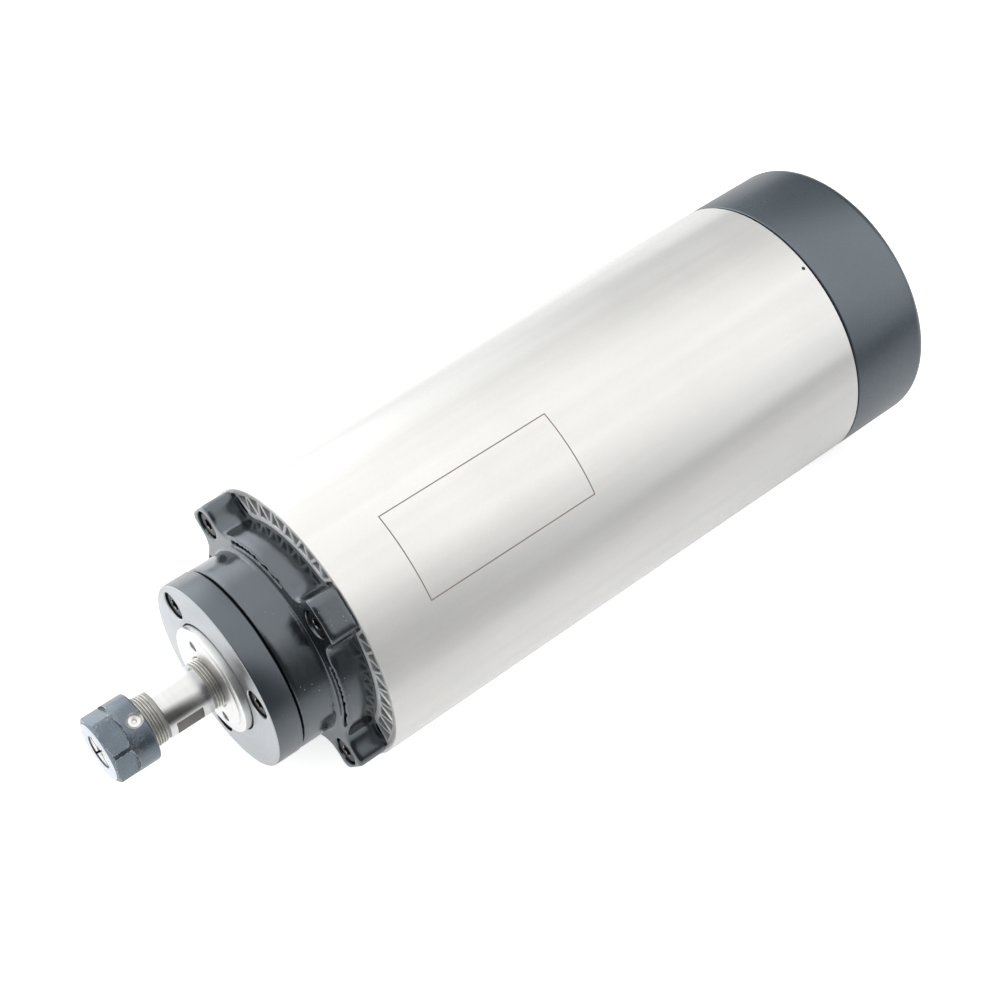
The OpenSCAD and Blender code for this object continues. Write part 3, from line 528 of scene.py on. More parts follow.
def stainless_finish(colour, roughness):
    """Satin drawn tube: fine even grain, faint lengthwise shade, and one small dark spot by the cover."""
    finish = Finish("brushed_stainless", colour, roughness, 0.40)
    tree = finish.tree
    clouds = finish.use("handling", Size=26.0)["Clouds"]
    skin = finish.use("metal_skin", Ripple=2600.0, Pits=9000.0)
    drawn = put(tree, "Mapping", {"Vector": finish.place, "Scale": (260.0, 6.0, 260.0)}).outputs[0]
    share = band(tree, calc(tree, "MULTIPLY", noise(tree, drawn, 1.0, 4.0), clouds), 0.12, 0.42)
    base = blended(tree, share, shaded(colour, 0.90), finish.colour)
    grain = band(tree, skin["Grain"], 0.3, 0.7, 0.0, 0.16)
    grained = blended(tree, grain, base, (0.42, 0.42, 0.41, 1.0))
    turn = math.radians(MARK_ANGLE)
    spot = (0.04 * math.cos(turn), 0.0806, 0.04 * math.sin(turn))
    away = put(tree, "VectorMath", {0: finish.place, 1: spot}, operation="DISTANCE").outputs["Value"]
    clear = band(tree, away, 0.00045, 0.00062)
    finish.give(Base_Color=blended(tree, clear, (0.02, 0.02, 0.02, 1.0), grained),
                Roughness=band(tree, skin["Grain"], 0.3, 0.7, roughness * 0.9, roughness * 1.12))
    finish.bump(skin["Height"], 0.000006)


def jacket_finish(colour):
    """Extruded aluminium: machined on its end faces; in the channels painted shade, pale at the mouths and
    near-black deeper in.
    """
    finish = Finish("channel_aluminium", colour, 0.42, 1.0)
    tree = finish.tree
    normal = put(tree, "TexCoord").outputs["Normal"]
    machined = band(tree, calc(tree, "ABSOLUTE", split(tree, normal)[1]), 0.35, 0.75)
    centre, end = (JACKET_FRONT + JACKET_REAR) / 2 * MM, (JACKET_REAR - JACKET_FRONT) / 2 * MM
    inside = calc(tree, "ABSOLUTE", calc(tree, "ADD", split(tree, finish.place)[1], -centre))
    mouth = band(tree, inside, end - 0.007, end - 0.001)
    clouds = finish.use("handling", Size=160.0)["Clouds"]
    rings = finish.use("turned_lines", Lines_per_metre=5000.0)
    # Painted shade: the channel walls darken from pale at the mouths to near-black deeper in
    painted_deep_shade = blended(tree, clouds, shaded(colour, 0.05), shaded(colour, 0.14))
    painted_channel_shade = blended(tree, mouth, painted_deep_shade, shaded(colour, 0.62))
    face = blended(tree, rings["Broad"], shaded(colour, 0.88), shaded(colour, 1.05))
    finish.give(Base_Color=blended(tree, machined, painted_channel_shade, face),
                Metallic=band(tree, machined, 0, 1, 0.85, 0.15),
                Roughness=band(tree, machined, 0, 1, 0.5, 0.36))
    finish.bump(rings["Height"], 0.000006)


# The pieces that keep their frame shapes: finish, colour, roughness, metallic and the pieces
INNER = (
    ("lamination_steel", (0.16, 0.165, 0.18), 0.5, 1.0, ("stator_core", "rotor_core")),
    ("winding_copper", (0.55, 0.20, 0.07), 0.35, 1.0, ("stator_windings",)),
    ("black_plastic", (0.02, 0.02, 0.022), 0.45, 0.0, ("cooling_fan", "receptacle_insulator")),
    ("pin_brass", (0.72, 0.52, 0.20), 0.28, 1.0,
     ("receptacle_pins", "front_bearing_cages", "rear_bearing_cage")),
    ("lead_red", (0.42, 0.02, 0.015), 0.42, 0.0, ("lead_wires",)),
    ("bearing_steel", (0.60, 0.60, 0.60), 0.16, 1.0,
     ("front_bearing_outer_rings", "front_bearing_inner_rings", "front_bearing_balls",
      "rear_bearing_outer_ring", "rear_bearing_inner_ring", "rear_bearing_balls", "preload_spring",
      "fan_circlip")),
    ("cast_aluminium", (0.45, 0.46, 0.47), 0.5, 1.0, ("rear_shield", "rotor_end_rings")),
)


# ---- Settings ----

def length_setting(name, text, value, low, high):
    return FloatProperty(name=name, description=text, default=value, min=low, max=high, unit="LENGTH")


def count_setting(name, text, value, low, high):
    return IntProperty(name=name, description=text, default=value, min=low, max=high)


def colour_setting(name, text, value):
    return FloatVectorProperty(name=name, description=text, default=value, min=0, max=1, subtype="COLOR")


def power_setting(name, text, value):
    return FloatProperty(name=name, description=text, default=value, min=0, max=100)


class SpindleSizes(PropertyGroup):
    barrel_radius: length_setting("Barrel radius", "Outside radius of the barrel", HIGH.x, 0.03, 0.06)
    thread_pitch: length_setting("Thread pitch", "Pitch of the two fine threads", 0.00075, 0.0005, 0.0015)
    casting_grain: length_setting("Casting grain", "Softness of its corners", 0.00046, 0.0003, 0.001)
    etched_width: length_setting("Etched line", "Width of the etched frame's lines", 0.0003, 0.0001, 0.001)
    air_slots: count_setting("Air slots", "Number of slots in the rear cover's end", 20, 8, 28)
    channel_periods: count_setting("Channels", "Zigzag periods of the cooling channels", 36, 16, 48)
    fin_thickness: length_setting("Fins", "Thickness of the fins between the channels", 0.001, 0.0006, 0.0014)


class SpindleFinishes(PropertyGroup):
    stainless: colour_setting("Stainless", "Colour of the barrel", (0.82, 0.813, 0.792))
    stainless_roughness: FloatProperty(name="Barrel roughness", description="How matt the barrel is",
                                       default=0.25, min=0, max=1, subtype="FACTOR")
    casting: colour_setting("Casting paint", "Colour of the nose casting", (0.006, 0.007, 0.008))
    anodised: colour_setting("Dark anodise", "Colour of the front cap and rear cover", (0.018, 0.025, 0.033))
    oxide: colour_setting("Oxide", "Colour of the collet nut", (0.008, 0.012, 0.018))
    steel: colour_setting("Ground steel", "Colour of the shaft", (0.70, 0.70, 0.69))
    aluminium: colour_setting("Aluminium", "Colour of the cooling jacket", (0.82, 0.82, 0.82))


class StudioSettings(PropertyGroup):
    camera_place: FloatVectorProperty(name="Camera place", description="Where the camera stands",
                                      default=(0.26493, -0.23411, 0.41633), unit="LENGTH")
    camera_aim: FloatVectorProperty(name="Camera aim", description="Direction in which the camera looks",
                                    default=(-0.48991, 0.40422, -0.77239), subtype="DIRECTION")
    lens: FloatProperty(name="Lens", description="Focal length in millimetres", default=71.316, min=20,
                        max=200)
    floor_colour: colour_setting("Floor", "Colour of the floor", (0.80, 0.80, 0.80))
    floor_glow: FloatProperty(name="Floor glow", description="Light of the floor, as the camera sees it",
                              default=0.60, min=0, max=2)
    key_power: power_setting("Key light", "Power of the overhead soft light in watts", 0.4)
    fill_power: power_setting("Fill light", "Power of the right-hand soft light in watts", 3.2)


def sizes():
    return bpy.context.scene.spindle_sizes


# ---- Operators: finishes, then one for each piece or group, then the stage ----

class SPINDLE_OT_finishes(Operator):
    """Mixes the shared effects and the finishes of every piece"""
    bl_idname = "spindle.finishes"
    bl_label = "Mix finishes"

    def execute(self, context):
        for effect in EFFECTS:
            mix_effect(*effect)
        look = context.scene.spindle_finishes
        blue, steel_blue = (0.82, 0.92, 1.0, 1.0), (0.72, 0.87, 1.0, 1.0)
        stainless_finish(look.stainless, look.stainless_roughness)
        jacket_finish(look.aluminium)
        skinned_metal("casting_paint", look.casting, 0.17, ripple=480.0, depth=0.00003,
                      speck=(0.8, 0.8, 0.8), speck_share=0.85, IOR=2.2, Specular_Tint=blue)
        # Near-black and matt: the casting's own black in its bore, and painted shade on the walls of the
        # cap's counterbores and the collet's slits
        skinned_metal("black_bore_and_painted_shade", (0.006, 0.006, 0.007), 0.5)
        skinned_metal("cover_anodise", look.anodised, 0.30, ripple=3000.0, depth=0.000004,
                      speck_share=0.15, IOR=2.3, Specular_Tint=blue)
        turned_metal("cap_side", [c * 0.55 for c in look.anodised], 0.28, lines=4200.0, depth=0.000006,
                     sheen=0.4, metallic=0.0, IOR=2.2, Specular_Tint=blue)
        turned_metal("cap_face", (0.53, 0.555, 0.58), 0.33, lines=5000.0, depth=0.000002, sheen=0.75)
        turned_metal("ring_turned", (0.92, 0.92, 0.91), 0.34, lines=4500.0, depth=0.000004, sheen=0.6)
        turned_metal("shaft_ground", look.steel, 0.19, lines=16000.0, depth=0.000001, sheen=0.15, shade=0.06)
        skinned_metal("flat_matt", (0.17, 0.165, 0.16), 0.55, ripple=4000.0, depth=0.000012, metallic=1.0)
        thread_finish((0.92, 0.92, 0.90), (0.42, 0.41, 0.385), root=0.00656, crest=0.0069)
        for name, high in (("nut_oxide", 1.2), ("nut_edge", 0.56)):
            oxide = skinned_metal(name, look.oxide, 0.27, ripple=2400.0, depth=0.000012,
                                  speck=(0.5, 0.5, 0.5), speck_share=0.4, IOR=2.5, Specular_Tint=steel_blue)
            rubbed_bright(oxide, (0.55, 0.55, 0.54), 0.5, high)
        skinned_metal("nut_face", (0.50, 0.545, 0.59), 0.36, ripple=2400.0, depth=0.000008, metallic=0.85)
        turned_metal("cut_edge", (0.90, 0.90, 0.90), 0.32, lines=5200.0, depth=0.000004, sheen=0.0)
        turned_metal("drilled_bright", (0.80, 0.79, 0.77), 0.27, lines=5200.0, depth=0.00001, sheen=0.0)
        skinned_metal("screw_black", (0.02, 0.02, 0.022), 0.34, ripple=2600.0,
                      speck=(0.6, 0.6, 0.6), speck_share=0.6, IOR=2.2)
        skinned_metal("screw_rubbed", (0.34, 0.34, 0.35), 0.30, ripple=2600.0, metallic=0.9)
        skinned_metal("etched_mark", (0.16, 0.12, 0.09), 0.6, ripple=2600.0)
        nickel = ("shell_nickel", (0.62, 0.60, 0.56), 0.25, 1.0, ())
        for name, colour, roughness, metallic, _ in (*INNER, nickel):
            skinned_metal(name, colour, roughness, depth=0.000008, metallic=metallic, speck=colour)
        return {"FINISHED"}


class SPINDLE_OT_barrel(Operator):
    """Turns the stainless barrel tube with its eased lips"""
    bl_idname = "spindle.barrel"
    bl_label = "Barrel tube"

    def execute(self, context):
        r = sizes().barrel_radius / MM
        bore = r - 1.5
        outline = rounded([(bore, FRONT, 0.1), (r, FRONT, 0.2), (r, REAR, 0.2), (bore, REAR, 0.1)])
        finished("barrel_tube", turned(outline, 256), ["brushed_stainless"], "housing",
                 ["outer_sleeve"])
        return {"FINISHED"}


class SPINDLE_OT_etched_frame(Operator):
    """Lays the thin etched frame, left empty, on the barrel"""
    bl_idname = "spindle.etched_frame"
    bl_label = "Etched frame"

    def execute(self, context):
        r = sizes().barrel_radius / MM
        w = sizes().etched_width / MM
        front, rear, right, left = -62.9, -9.35, 39.25, 75.0
        turn = math.degrees(w / r)
        inside, outside = r - 0.05, r + 0.006
        strips = []
        for low, high, start, end, steps in (
                (front, front + w, right, left, 48), (rear - w, rear, right, left, 48),
                (front, rear, right, right + turn, 1), (front, rear, left - turn, left, 1)):
            outline = [(inside, low), (outside, low), (outside, high), (inside, high)]
            strips.append(swept(outline, start, end, steps))
        finished("etched_frame", gathered(strips), ["etched_mark"], "housing")
        return {"FINISHED"}


class SPINDLE_OT_jacket(Operator):
    """Extrudes the cooling jacket with its zigzag ring of air channels"""
    bl_idname = "spindle.jacket"
    bl_label = "Cooling jacket"

    def loop(self, bm, points):
        verts = [bm.verts.new((x, JACKET_FRONT, z)) for x, z in points]
        return [bm.edges.new(pair) for pair in zip(verts, verts[1:] + verts[:1])]

    def channel(self, base, tip, width, angle):
        corners = [(base, -width / 2, 0.25), (base, width / 2, 0.25), (tip, 0.0, 0.2)]
        turn = math.radians(angle)
        return [(x * math.cos(turn) - z * math.sin(turn), x * math.sin(turn) + z * math.cos(turn))
                for x, z in rounded(corners, 3)]

    def execute(self, context):
        rim, outer, inner, bore = 38.48, 37.28, 32.38, 29.5
        periods = sizes().channel_periods
        step = 360 / periods
        per_lug = periods // 4
        lean = math.atan(math.pi / periods * inner / (outer - inner))
        room = 2 * (sizes().fin_thickness / MM) / math.cos(lean)
        bm = bmesh.new()
        edges = self.loop(bm, circle((0, 0), rim, 256)) + self.loop(bm, circle((0, 0), bore, 128))
        for i in range(4):
            angle = math.radians(LUG_ANGLE + 90 * i)
            centre = (LUG_SCREW_R * math.cos(angle), LUG_SCREW_R * math.sin(angle))
            edges += self.loop(bm, circle(centre, 2.0, 24))
        for i in range(periods):
            angle = LUG_ANGLE + i * step
            if i % per_lug:
                width = math.tau * inner / periods - room
                edges += self.loop(bm, self.channel(inner, outer, width, angle))
            if i % per_lug not in (0, per_lug - 1):
                width = math.tau * outer / periods - room
                edges += self.loop(bm, self.channel(outer, inner, width, angle + step / 2))
        filled = bmesh.ops.triangle_fill(bm, use_beauty=True, edges=edges)["geom"]
        faces = [f for f in filled if isinstance(f, bmesh.types.BMFace)]
        raised(bm, faces, JACKET_REAR - JACKET_FRONT)

        def mouth(edge):
            ends = [v.co.y for v in edge.verts]
            return max(ends) < JACKET_FRONT + 0.1 or min(ends) > JACKET_REAR - 0.1

        eased(bm, 0.16, mouth, angle=60, finish=1)
        finished("jacket_extrusion", bm, ["channel_aluminium", "cut_edge"], "housing",
                 ["cooling_jacket"])
        return {"FINISHED"}


class SPINDLE_OT_nose_casting(Operator):
    """Casts the black nose housing: collar, four lugs and arc grooves in one soft skin"""
    bl_idname = "spindle.nose_casting"
    bl_label = "Nose casting"

    def lug_outline(self):
        half, root, corner, end = 6.4, 5.0, 2.5, 39.4
        root_v = half + root
        root_u = math.sqrt((FLANGE_R + root) ** 2 - root_v ** 2)
        corner_v = half - corner
        corner_u = math.sqrt((end - corner) ** 2 - corner_v ** 2)
        lean = math.degrees(math.atan2(corner_v, corner_u))
        toward = 180 - math.degrees(math.atan2(root_v, root_u))
        side = arc((root_u, -root_v), root, toward, 90, 8)
        side += arc((corner_u, -corner_v), corner, -90, -lean, 6)
        mirrored = [(u, -v) for u, v in reversed(side)]
        return [(28.0, -8.4)] + side + mirrored + [(28.0, 8.4)]

    def groove_outline(self):
        low, high, half = 28.7, 29.9, 21.0
        mid, end = (low + high) / 2, (high - low) / 2
        outer = arc((0, 0), high, -half, half, 24)
        inner = arc((0, 0), low, half, -half, 24)
        ends = []
        for sign, start in ((1, half), (-1, 180 - half)):
            turn = math.radians(half * sign)
            centre = (mid * math.cos(turn), mid * math.sin(turn))
            ends.append(arc(centre, end, start, start + 180, 8)[1:-1])
        return outer + ends[0] + inner + ends[1]

    def execute(self, context):
        foot = JACKET_FRONT + 0.35
        outline = rounded([
            (16.0, COLLAR_FRONT, 0.4), (COLLAR_R, COLLAR_FRONT, 0.7), (COLLAR_R, LUG_FACE, 0.3),
            (FLANGE_R, LUG_FACE, 1.0), (FLANGE_R, foot, 0), (29.48, foot, 0), (29.48, -75.2, 0.3),
            (26.0, -75.2, 0.3), (26.0, -84.0, 0.5), (20.5, -84.0, 0.5), (20.5, -77.6, 0.3),
            (13.5, -77.6, 0.2), (13.5, -80.6, 0), (16.0, -80.6, 0)])
        seat = LUG_FACE + SEAT_DEPTH
        bore = [(0, LUG_FACE - 1.5), (HEAD_BORE, LUG_FACE - 1.5), (HEAD_BORE, seat), (SHANK_BORE, seat),
                (SHANK_BORE, -78), (0, -78)]
        groove = self.groove_outline()

        def lug():
            return eased(prism(self.lug_outline(), LUG_FACE, foot), 0.7,
                         lambda e: middle(e).y < LUG_FACE + 0.1 or middle(e).x > 38.0, angle=40, segments=3)

        bores = ringed(lambda: turned(bore, 64), 4, LUG_ANGLE, LUG_SCREW_R)
        copies = [b.copy() for b in bores]
        grooves = ringed(lambda: prism(groove, LUG_FACE - 1, LUG_FACE + 2.5), 4, LUG_ANGLE + 45)
        body = cut(turned(outline, 224), grooves + bores)
        mouth = turned([(38.4, FRONT - 0.05), (41, FRONT - 0.05), (41, foot + 1), (38.4, foot + 1)], 192)
        lugs = cut(gathered(ringed(lug, 4, LUG_ANGLE)), copies + [mouth])
        bm = cast_skin(gathered([body, lugs]), sizes().casting_grain / MM, 3)
        tint(bm, 1, lambda c, n: off_axis(c) < 15.9)
        finished("nose_casting", bm, ["casting_paint", "black_bore_and_painted_shade"], "housing",
                 ["front_housing"], crease=60)
        return {"FINISHED"}


class SPINDLE_OT_front_cap(Operator):
    """Turns the front cap and sinks its three counterbores"""
    bl_idname = "spindle.front_cap"
    bl_label = "Front cap"

    def execute(self, context):
        outline = rounded([
            (15.7, CAP_FRONT, 0.2), (CAP_R, CAP_FRONT, 0.45), (CAP_R, CAP_REAR, 0.4), (15.98, CAP_REAR, 0.1),
            (15.98, -98.6, 0.2), (12.4, -98.6, 0), (12.4, -99.6, 0), (10.0, CAP_REAR, 0), (10.0, -106.4, 0.2),
            (15.7, -106.4, 0.2)])
        seat = CAP_FRONT + SEAT_DEPTH
        sink = [(0, CAP_FRONT - 0.55), (4.8, CAP_FRONT - 0.55), (HEAD_BORE, CAP_FRONT + 0.25),
                (HEAD_BORE, seat), (SHANK_BORE, seat), (SHANK_BORE, -97), (0, -97)]
        tools = ringed(lambda: turned(sink, 72), 3, CAP_ANGLE, CAP_SCREW_R)
        # The counterbore walls below their mouths take the near-black finish: painted shade in the holes
        for tool in tools:
            tint(tool, 2, lambda c, n: c.y > CAP_FRONT + 0.3)
        bm = cut(turned(outline, 224), tools)
        tint(bm, 1, lambda c, n: n.y < -0.5 and c.y < CAP_FRONT + 0.4)
        finished("cap_disc", bm, ["cap_side", "cap_face", "black_bore_and_painted_shade"], "housing",
                 ["front_cap"])
        return {"FINISHED"}


class SPINDLE_OT_lock_ring(Operator):
    """Turns the bright lock ring with its raised face and two pin holes"""
    bl_idname = "spindle.lock_ring"
    bl_label = "Lock ring"

    def execute(self, context):
        face = RING_FRONT - 0.4
        outline = rounded([
            (7.62, face, 0), (13.2, face, 0.12), (13.2, RING_FRONT, 0.08), (RING_R, RING_FRONT, 0.3),
            (RING_R, RING_REAR, 0.2), (9.6, RING_REAR, 0), (9.6, -98.6, 0), (7.02, -98.6, 0),
            (7.02, face + 0.6, 0)])
        pin = [(0, face - 0.5), (2.1, face - 0.5), (1.5, face + 0.1), (1.5, face + 2.2), (0, face + 3.0)]
        tools = ringed(lambda: turned(pin, 48), 2, 120, 10.9)
        for tool in tools:
            tint(tool, 1, lambda c, n: c.y > face + 0.1)
        finished("ring_piece", cut(turned(outline, 192), tools), ["ring_turned", "cut_edge"], "rotor",
                 ["lock_ring"])
        return {"FINISHED"}


class SPINDLE_OT_shaft(Operator):
    """Turns the shaft, winds its two fine threads and mills its wrench flats"""
    bl_idname = "spindle.shaft"
    bl_label = "Shaft"

    def execute(self, context):
        pitch = sizes().thread_pitch / MM
        crest, root, journal = 7.0, 6.55, 6.9
        outline = rounded([
            (5.60, SHAFT_TIP, 0.1), (root, SHAFT_TIP, 0.15), (root, THREAD_END, 0),
            (journal, THREAD_END, 0.15), (journal, RING_THREAD, 0.12), (root, RING_THREAD, 0),
            (root, -101.5, 0), (6.4, -101.5, 0), (6.4, -98.5, 0), (7.5, -98.5, 0.2), (7.5, -80.6, 0),
            (9.4, -80.6, 0.3), (9.4, -53, 0.3), (9.0, -53, 0), (9.0, 53, 0), (8.2, 53, 0.2),
            (8.2, 74, 0.3), (6.0, 74, 0), (6.0, 84, 0.2), (5.0, 84, 0), (5.0, 96.7, 0), (4.6, 96.7, 0),
            (4.6, 97.8, 0), (5.0, 97.8, 0), (5.0, 98.4, 0.3), (0, 98.4, 0), (0, -104, 0), (3.6, -106, 0),
            (3.6, -124.5, 0), (3.534, -124.5, 0)])
        flats = ringed(lambda: tint(block((6.5, -124.8, -8), (9, -117.0, 8)), 1), 2, -2)
        bm = cut(turned(outline, 160), flats)
        tint(bm, 2, lambda c, n: 6.2 < off_axis(c) < 6.7 and (c.y < THREAD_END or RING_THREAD < c.y < -99))
        ridges = [tint(helix(crest, root, pitch, start, end), 2) for start, end in (
            (SHAFT_TIP + 0.3, THREAD_END - 0.35), (RING_THREAD + 0.3, -102.0))]
        finished("shaft_piece", gathered([bm, *ridges]), ["shaft_ground", "flat_matt", "thread_steel"],
                 "rotor", ["shaft"])
        return {"FINISHED"}


class SPINDLE_OT_collet(Operator):
    """Turns the collet and saws its crossed slits"""
    bl_idname = "spindle.collet"
    bl_label = "Collet"

    def execute(self, context):
        front, rear, bore = -143.4, -125.4, 1.5875
        outline = rounded([
            (bore, front, 0.15), (4.6, front, 0.1), (5.6, -141.668, 0.1), (5.6, -140.968, 0.05),
            (4.85, -140.968, 0), (4.85, -139.768, 0), (5.65, -139.768, 0.1), (3.63, rear, 0.1),
            (bore, rear, 0.1)], 3)
        slits = []
        # The slits' walls take the near-black finish: painted shade in the slits
        for turn in (0, 90):
            for low, high, half, angle in ((front - 1, rear - 3.4, 0.3, 54), (front + 3.4, rear + 1, 0.2, 9)):
                slits.append(placed(tint(block((-8, low, -half), (8, high, half)), 1), angle + turn))
        finished("collet_piece", cut(turned(outline, 128), slits), ["drilled_bright", "black_bore_and_painted_shade"],
                 "collet", ["collet"])
        return {"FINISHED"}


class SPINDLE_OT_collet_nut(Operator):
    """Turns the collet nut, mills its six flats and drills its balance dimple"""
    bl_idname = "spindle.collet_nut"
    bl_label = "Collet nut"

    def execute(self, context):
        outline = rounded([
            (4.487, NUT_FRONT, 0.15), (8.1, NUT_FRONT, 0.3), (NUT_R, -142.892, 0.35), (NUT_R, NUT_REAR, 0.55),
            (7.05, NUT_REAR, 0.3), (7.05, -139.818, 0), (4.97, -139.818, 0), (4.97, -140.918, 0),
            (5.72, -140.918, 0), (5.72, -141.668, 0), (5.66, -141.668, 0)])
        flat, cutter, flats_end = 8.5, 10.4, -137.4
        drum = [(0, flat), (cutter, flat), (cutter, flat + 5), (0, flat + 5)]
        mills = ringed(lambda: pointed_out(turned(drum, 128), flats_end - cutter), 6, 6.5)
        bm = cut(turned(outline, 192), mills)
        drill = rounded([(0, 8.05, 0), (0.45, 8.2, 0), (0.65, 8.5, 0.05), (1.5, 8.62, 0.1), (1.72, 8.85, 0.1),
                         (2.1, 9.3, 0), (3.2, 10.4, 0), (0, 10.4, 0)], 3)
        dimple = pointed_out(tint(turned(drill, 64), 1), -133.94)
        bm = cut(bm, [placed(dimple, MARK_ANGLE)])
        tint(bm, 2, lambda c, n: n.y < -0.95 and c.y < NUT_FRONT + 0.1)
        eased(bm, 0.09, lambda e: middle(e).y < -136.5 and off_axis(middle(e)) > 8.3, angle=14, finish=3)
        finished("nut_piece", bm, ["nut_oxide", "drilled_bright", "nut_face", "nut_edge"], "nut",
                 ["collet_nut"], crease=22)
        return {"FINISHED"}


class SPINDLE_OT_screws(Operator):
    """Fits the socket screws of the lugs, the front cap and the rear cover"""
    bl_idname = "spindle.screws"
    bl_label = "Socket screws"

    def screw(self, length):
        """An M4 socket screw, head towards -Y and seat at the origin."""
        outline = rounded([(0, -4, 0), (3.5, -4, 0.45), (3.5, 0, 0.12), (2, 0, 0), (2, length, 0.3),
                           (0, length, 0)], 4)
        hexagon = prism(circle((0, 0), 3 / math.sqrt(3), 6), -4.7, -2.0)
        chamfer = tint(turned([(0, -4.6), (2.25, -4.6), (1.5, -3.85), (0, -3.85)], 48), 1)
        return cut(turned(outline, 64), [hexagon, chamfer])

    def execute(self, context):
        for name, node, count, angle, radius, seat, length, flip in (
                ("lug_screws", "housing_screws", 4, LUG_ANGLE, LUG_SCREW_R, LUG_FACE + SEAT_DEPTH, 14, 0),
                ("cap_screws", "front_cap_screws", 3, CAP_ANGLE, CAP_SCREW_R, CAP_FRONT + SEAT_DEPTH, 12, 0),
                ("cover_screws", "rear_cover_screws", 4, LUG_ANGLE, LUG_SCREW_R, COVER_SEAT, 37.1, 1)):
            screws = []
            for i in range(count):
                screw = self.screw(length)
                if flip:
                    bmesh.ops.transform(screw, matrix=Matrix.Rotation(math.pi, 4, "X"), verts=screw.verts)
                twist = Matrix.Rotation(math.radians(37 * i), 4, "Y")
                bmesh.ops.transform(screw, matrix=twist, verts=screw.verts)
                screws.append(placed(screw, angle + i * 360 / count, radius, seat))
            finished(name, gathered(screws), ["screw_black", "screw_rubbed"], "housing",
                     [node])
        return {"FINISHED"}


class SPINDLE_OT_rear_cover(Operator):
    """Turns the rear cover with its rounded edge, screw bosses and grille of air slots"""
    bl_idname = "spindle.rear_cover"
    bl_label = "Rear cover"

    def execute(self, context):
        beyond = COVER_END + 1.3
        outline = rounded([
            (8.1, COVER_END, 0.2), (COVER_R, COVER_END, 3.2), (COVER_R, COVER_FRONT, 0.3),
            (38.46, COVER_FRONT, 0), (38.46, 79.3, 0.2), (37.4, 79.3, 0), (37.4, COVER_INSIDE, 1.0),
            (8.1, COVER_INSIDE, 0)], 10)
        boss = [(0, 85), (4.2, 85), (4.2, COVER_INSIDE + 0.8), (0, COVER_INSIDE + 0.8)]
        bosses = ringed(lambda: turned(boss, 48), 4, LUG_ANGLE, LUG_SCREW_R)
        bm = cut(turned(outline, 256), bosses, "UNION")
        slot = arc((16.5, 0), 1.5, 90, 270, 10) + arc((29, 0), 1.5, -90, 90, 10)
        tools = ringed(lambda: prism(slot, COVER_INSIDE - 1.2, beyond), sizes().air_slots, LUG_ANGLE)
        sink = [(0, 84), (SHANK_BORE, 84), (SHANK_BORE, COVER_SEAT), (HEAD_BORE, COVER_SEAT),
                (HEAD_BORE, beyond), (0, beyond)]
        tools += ringed(lambda: turned(sink, 64), 4, LUG_ANGLE, LUG_SCREW_R)
        bm = cut(bm, tools)
        eased(bm, 0.22, lambda e: min(v.co.y for v in e.verts) > COVER_END - 0.01
              and 14 < off_axis(middle(e)) < 38.5, angle=50)
        finished("cover_cup", bm, ["cover_anodise"], "housing", ["rear_cover"])
        return {"FINISHED"}


class SPINDLE_OT_receptacle(Operator):
    """Makes the threaded receptacle and its hexagon nut on the rear cover"""
    bl_idname = "spindle.receptacle"
    bl_label = "Receptacle"

    def execute(self, context):
        mouth, nut_top = COVER_END + 8.8, COVER_END + 2.5
        outline = rounded([
            (6.9, COVER_END - 5, 0), (8.0, COVER_END - 5, 0.2), (8.0, COVER_SEAT, 0),
            (9.6, COVER_SEAT, 0.2), (9.6, COVER_INSIDE, 0), (8.0, COVER_INSIDE, 0), (8.0, nut_top, 0),
            (7.5, nut_top, 0), (7.5, mouth - 0.3, 0), (7.2, mouth, 0), (6.9, mouth, 0)])
        key = block((6.2, 111.0, -0.7), (7.2, 115.2, 0.7))
        thread = helix(8.0, 7.5, 1.0, COVER_END + 3.8, mouth - 0.7)
        finished("receptacle_barrel", gathered([turned(outline, 128), key, thread]), ["shell_nickel"],
                 "housing", ["receptacle_shell"])
        dome = turned([(8.02, COVER_END), (10.5, COVER_END), (10.5, COVER_END + 1.9), (9.3, COVER_END + 2.4),
                       (8.4, COVER_END + 2.4), (8.02, COVER_END + 2.1)], 128)
        hexagon = prism(circle((0, 0), 18 / math.sqrt(3), 6), COVER_END - 1, COVER_END + 3)
        finished("receptacle_hexagon", cut(dome, [hexagon], "INTERSECT"), ["shell_nickel"], "housing",
                 ["receptacle_nut"])
        return {"FINISHED"}


class SPINDLE_OT_inner_parts(Operator):
    """Gives the pieces inside, which keep their frame shapes, their own finishes"""
    bl_idname = "spindle.inner_parts"
    bl_label = "Inner parts"

    def execute(self, context):
        for name, _, _, _, nodes in INNER:
            for node in nodes:
                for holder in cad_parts[node].material_slots:
                    holder.material = bpy.data.materials[name]
        return {"FINISHED"}


